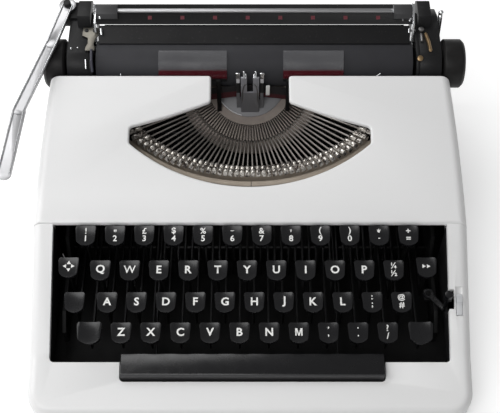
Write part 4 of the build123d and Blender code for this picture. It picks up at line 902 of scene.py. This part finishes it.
# The bail's plate, seen along x: its front foot, the run to its rear edge and the way out of its face
BAIL_FOOT = (260.5, 101.0)
BAIL_RUN = (11.5, 6.0)
BAIL_OUT = (-0.4625, 0.8866)
BAIL_HALF_WALL = 0.7


def on_plate(share, lift):
    """A (y, z) point over the bail's plate: its share of the way back and its height over the face."""
    return tuple(
        foot + run * share + out * (BAIL_HALF_WALL + lift)
        for foot, run, out in zip(BAIL_FOOT, BAIL_RUN, BAIL_OUT))


END_SHAPE = [on_plate(*spot) for spot in (
    (0.2, -0.1), (0.98, -0.1), (0.98, 2.4), (0.86, 3.6), (0.44, 3.6), (0.2, 1.2))]
for name, x0, x1 in (("bail_end_left", -107.4, -92.5), ("bail_end_right", 100.6, 113.4)):
    finish_piece(slab(name, "x", END_SHAPE, x0, x1, 0.25), "paper_bail", GREY)
MARK_SHAPE = [on_plate(*spot) for spot in ((0.2, -0.1), (0.4, -0.1), (0.4, 0.12), (0.2, 0.12))]
MARK_STEP = 22.85
marks = [
    slab("scale_mark", "x", MARK_SHAPE, -71.6 + MARK_STEP * step, -68.8 + MARK_STEP * step)
    for step in range(8)]
finish_piece(joined("scale_marks", marks), "paper_bail", RED)
front_edge = rod_piece("bail_front_edge", (-107.0, *on_plate(0.0, -0.5)), (113.0, *on_plate(0.0, -0.5)), 0.35)
finish_piece(front_edge, "paper_bail", STEEL)
ridge = block_piece("table_ridge", (-102.0, 259.8, 96.0), (108.0, 260.5, 99.7), 0.15)
finish_piece(ridge, "carriage", BLACK)
TIP_SHAPES = (
    (((0.5, 0.0), (0.97, 0.0), (0.97, 3.7), (0.5, 3.7)), 99.9, 100.5),
    (((0.1, -0.1), (0.4, -0.1), (0.4, 1.0), (0.1, 1.0)), 106.6, 107.2))
tips = [slab("bail_tip", "x", [on_plate(*spot) for spot in shape], x0, x1) for shape, x0, x1 in TIP_SHAPES]
finish_piece(joined("bail_tips", tips), "paper_bail", CHROME)
link = bent_rod("bail_link_left", ((-105.6, 268.0, 108.6), (-104.9, 262.0, 104.4)), 0.8)
finish_piece(link, "paper_bail", CHROME)
link = bent_rod(
    "bail_link_right", ((113.4, 271.0, 109.0), (113.9, 265.0, 105.6), (111.6, 261.0, 103.0)), 0.75)
finish_piece(link, "paper_bail", CHROME)
studs = [
    bent_rod("stud", ((-104.3, 256.6, 99.4), (-103.8, 253.0, 97.9)), 0.8),
    bent_rod("stud", ((111.4, 256.6, 99.4), (111.2, 254.5, 98.4)), 0.7)]
finish_piece(joined("table_studs", studs), "carriage", CHROME)

# Left end: bracket with two rivets, its link, the stop and two screws
BRACKET_SHAPE = (
    (-117.6, 261.4), (-106.4, 261.4), (-106.2, 255.0), (-108.4, 251.0), (-109.2, 246.0), (-108.2, 243.4),
    (-108.2, 240.4), (-114.8, 240.4), (-114.8, 243.6), (-113.4, 247.0), (-113.8, 252.0), (-117.8, 254.0))
finish_piece(slab("left_bracket", "z", BRACKET_SHAPE, 94.7, 95.6, 0.2), "carriage", OLIVE)
rivets = [rod_piece("rivet", (x, 258.6, 95.4), (x, 258.6, 96.0), 1.5, 16, 0.15) for x in (-115.0, -109.3)]
finish_piece(joined("left_rivets", rivets), "carriage", BLACK)
link = bent_rod("left_link", ((-110.4, 241.0, 95.3), (-109.8, 232.0, 94.6), (-109.4, 227.4, 89.0)), 1.0)
finish_piece(link, "carriage", BLUEBLACK)
finish_piece(bent_rod("left_stop", ((-114.0, 233.4, 93.6), (-113.9, 229.2, 89.8)), 0.7), "carriage", CHROME)
screws = [ball_piece("screw", (-124.8, 243.0, 94.6), 1.0), ball_piece("screw", (-120.2, 243.8, 94.5), 0.7)]
finish_piece(joined("left_screws", screws), "carriage", CHROME)

# Right end: two upright posts and two lying pins, the bronze lever, a brass screw and a lever's tip
posts = [
    rod_piece("post", (121.0, 265.8, 93.5), (121.0, 265.8, 97.2), 1.9, 16, 0.4),
    rod_piece("post", (120.6, 259.2, 94.0), (120.6, 259.2, 97.0), 2.1, 16, 0.5),
    rod_piece("post", (112.6, 258.2, 96.0), (116.6, 258.2, 96.0), 0.9, 12, 0.2),
    rod_piece("post", (120.4, 256.2, 95.0), (120.4, 249.0, 95.0), 1.1, 12, 0.2)]
finish_piece(joined("right_posts", posts), "carriage", STEEL)
lever = bent_rod("bronze_lever", ((123.4, 255.0, 95.8), (124.4, 246.0, 97.8), (124.6, 237.4, 99.4)), 1.3)
finish_piece(lever, "carriage", BRASS)
screw = rod_piece("brass_screw", (118.2, 236.4, 91.6), (118.2, 234.8, 94.0), 2.1, 16, 0.4)
finish_piece(screw, "carriage", BRASS)
finish_piece(ball_piece("release_tip", (134.9, 270.3, 101.2), 2.0), BODY_OF["paper_release_lever"], CHROME)

# Return lever: raised bright edges along the strip, at its middle line and half its width in each place
LEVER_SPOTS = (
    (-130.0, 280.0, 97.9, 3.4), (-137.5, 243.3, 99.9, 3.4), (-156.5, 194.0, 88.4, 3.6),
    (-162.5, 148.0, 79.9, 4.2))
ACROSS_LEVER = (0.94, -0.3)
EDGE_LIFT = 0.7
for side, name in ((-1, "lever_edge_outer"), (1, "lever_edge_inner")):
    edge_spots = [
        (x + side * reach * ACROSS_LEVER[0], y + side * reach * ACROSS_LEVER[1], z + EDGE_LIFT)
        for x, y, z, reach in LEVER_SPOTS]
    finish_piece(bent_rod(name, edge_spots, 0.75), BODY_OF["return_lever"], CHROME)

# Guide: prongs at the top, ribs up its face, and the hooks of the ribbon's carrier beside it
prongs = [
    bent_rod("prong", ((x, 222.5, 87.4), (x, 225.0, z)), 0.75)
    for x, z in ((-4.2, 91.0), (4.0, 91.0), (-2.9, 88.2), (2.9, 88.2))]
finish_piece(joined("guide_prongs", prongs), "machine", CHROME)
RIB_SHAPE = ((5.6, 62.0), (5.2, 74.0), (4.2, 79.5), (2.8, 82.0))
ribs = [bent_rod("rib", [(side * x, 221.7, z) for x, z in RIB_SHAPE], 0.4, 8) for side in (-1, 1)]
finish_piece(joined("guide_ribs", ribs), "machine", STEEL)
HOOK_HALF = 1.5
hooks = [
    block_piece("hook", (middle - HOOK_HALF, 223.9, 84.6), (middle + HOOK_HALF, 225.0, 90.2), 0.3)
    for middle in (-8.4, 8.4)]
finish_piece(joined("ribbon_hooks", hooks), BODY_OF["ribbon_vibrator"], CHROME)
finish_piece(block_piece("white_tab", (11.2, 223.0, 67.5), (13.9, 223.7, 78.0), 0.25), "machine", LEGEND)
ribbon_posts = [
    bent_rod("ribbon_post", ((-89.8, 225.6, 80.0), (-89.8, 225.6, 87.9)), 0.5),
    bent_rod("ribbon_post", ((87.8, 225.6, 80.0), (88.0, 225.6, 86.0), (90.2, 225.6, 88.6)), 0.5)]
finish_piece(joined("ribbon_posts", ribbon_posts), "machine", CHROME)

# Joint in the pad, and a pale rod along the lower left edge of the segment's plate, which leans 30 degrees: a
# painted highlight
pad_low, pad_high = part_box("type_rest")
pad_front = (pad_low.y - FRONT_Y) * 1000
pad_top = pad_high.z * 1000
joint = block_piece(
    "pad_joint", (0.6, pad_front - 0.05, pad_top - 7.0), (1.0, pad_front + 4.05, pad_top + 0.05))
finish_piece(joint, "machine", BLACK)
PLATE_RADIUS = 25.4
EDGE_FROM = 196.0
EDGE_STEP = 7.5
highlight_spots = []
for step in range(9):
    turn = math.radians(EDGE_FROM + EDGE_STEP * step)
    across, along = PLATE_RADIUS * math.cos(turn), PLATE_RADIUS * math.sin(turn)
    highlight_spots.append((across, 242.0 + along * 0.866 - 0.65, 59.5 + along * 0.5 + 1.1))
# Painted highlight: a pale rod on the lower left stretch of the plate's rim
finish_piece(bent_rod("plate_edge_highlight", highlight_spots, 0.4, 8), "machine", PALE)

# Wire link of the margin release
wire = bent_rod("well_wire", ((-124.0, 104.0, 50.0), (-121.6, 99.0, 48.5), (-121.2, 92.5, 44.0)), 0.45)
finish_piece(wire, BODY_OF["margin_release_key"], STEEL)


# Stage, light and camera


FLOOR_LIFT = 0.4
FRAME_PIXELS = 500.0
FOCAL_PIXELS = 1040.0
FILM_WIDTH = 36.0
CAMERA_SLOPE = math.radians(58.0)
CAMERA_DISTANCE = 0.690
LAMP_TARGET = Vector((0.0, 0.0, 0.05))


def studio():
    """Pale floor, which glows a little where it is seen, straight or in a reflection."""
    bpy.ops.mesh.primitive_plane_add(size=6.0, location=(0, 0, -0.0002))
    floor = bpy.context.object
    floor.name = "studio_floor"
    f = Finish("studio_floor")
    f.fixed(Roughness=0.9, Base_Color=rgb(0.93, 0.93, 0.93), Specular_IOR_Level=0.1, Emission_Strength=1.0)
    seen = f.node("ShaderNodeLightPath", output="Is Camera Ray")
    for kind in ("Is Glossy Ray", "Is Transmission Ray"):
        seen = seen + f.node("ShaderNodeLightPath", output=kind)
    f.drive("Emission Color", f.blend(seen, rgb(0.0, 0.0, 0.0), rgb(FLOOR_LIFT, FLOOR_LIFT, FLOOR_LIFT)))
    floor.data.materials.append(f.material)


def lamp(name, size, energy, place):
    """Soft panel that looks at the middle of the machine."""
    data = bpy.data.lights.new(name, "AREA")
    data.shape = "RECTANGLE"
    data.size = size[0]
    data.size_y = size[1]
    data.energy = energy
    light = bpy.data.objects.new(name, data)
    light.location = place
    aim = LAMP_TARGET - Vector(place)
    light.rotation_euler = aim.to_track_quat("-Z", "Y").to_euler()
    bpy.context.scene.collection.objects.link(light)


def world_light():
    world = bpy.data.worlds.new("studio_air")
    bpy.context.scene.world = world
    world.use_nodes = True
    sky = world.node_tree.nodes["Background"].inputs
    sky["Color"].default_value = rgb(1.0, 1.0, 1.0)
    sky["Strength"].default_value = 0.25


def photo_camera():
    """Camera at the photograph's angle, in front of the machine and above it."""
    data = bpy.data.cameras.new("photo_camera")
    data.sensor_width = FILM_WIDTH
    data.lens = FOCAL_PIXELS / FRAME_PIXELS * FILM_WIDTH
    data.clip_start = 0.01
    camera = bpy.data.objects.new("photo_camera", data)
    target = at(0.0, 131.0, 66.0)
    way = Vector((0, -math.cos(CAMERA_SLOPE), math.sin(CAMERA_SLOPE)))
    camera.location = target + way * CAMERA_DISTANCE
    camera.rotation_euler = (math.radians(90.0) - CAMERA_SLOPE, 0, 0)
    bpy.context.scene.collection.objects.link(camera)
    bpy.context.scene.camera = camera


studio()
world_light()
lamp("rear_panel", (1.1, 0.8), 9.0, (-0.55, 1.0, 1.35))
lamp("left_panel", (0.6, 1.0), 9.0, (-1.2, 0.05, 0.9))
lamp("front_panel", (1.0, 0.6), 9.0, (-0.45, -0.95, 1.25))
photo_camera()

scene = bpy.context.scene
scene.view_settings.view_transform = "Standard"
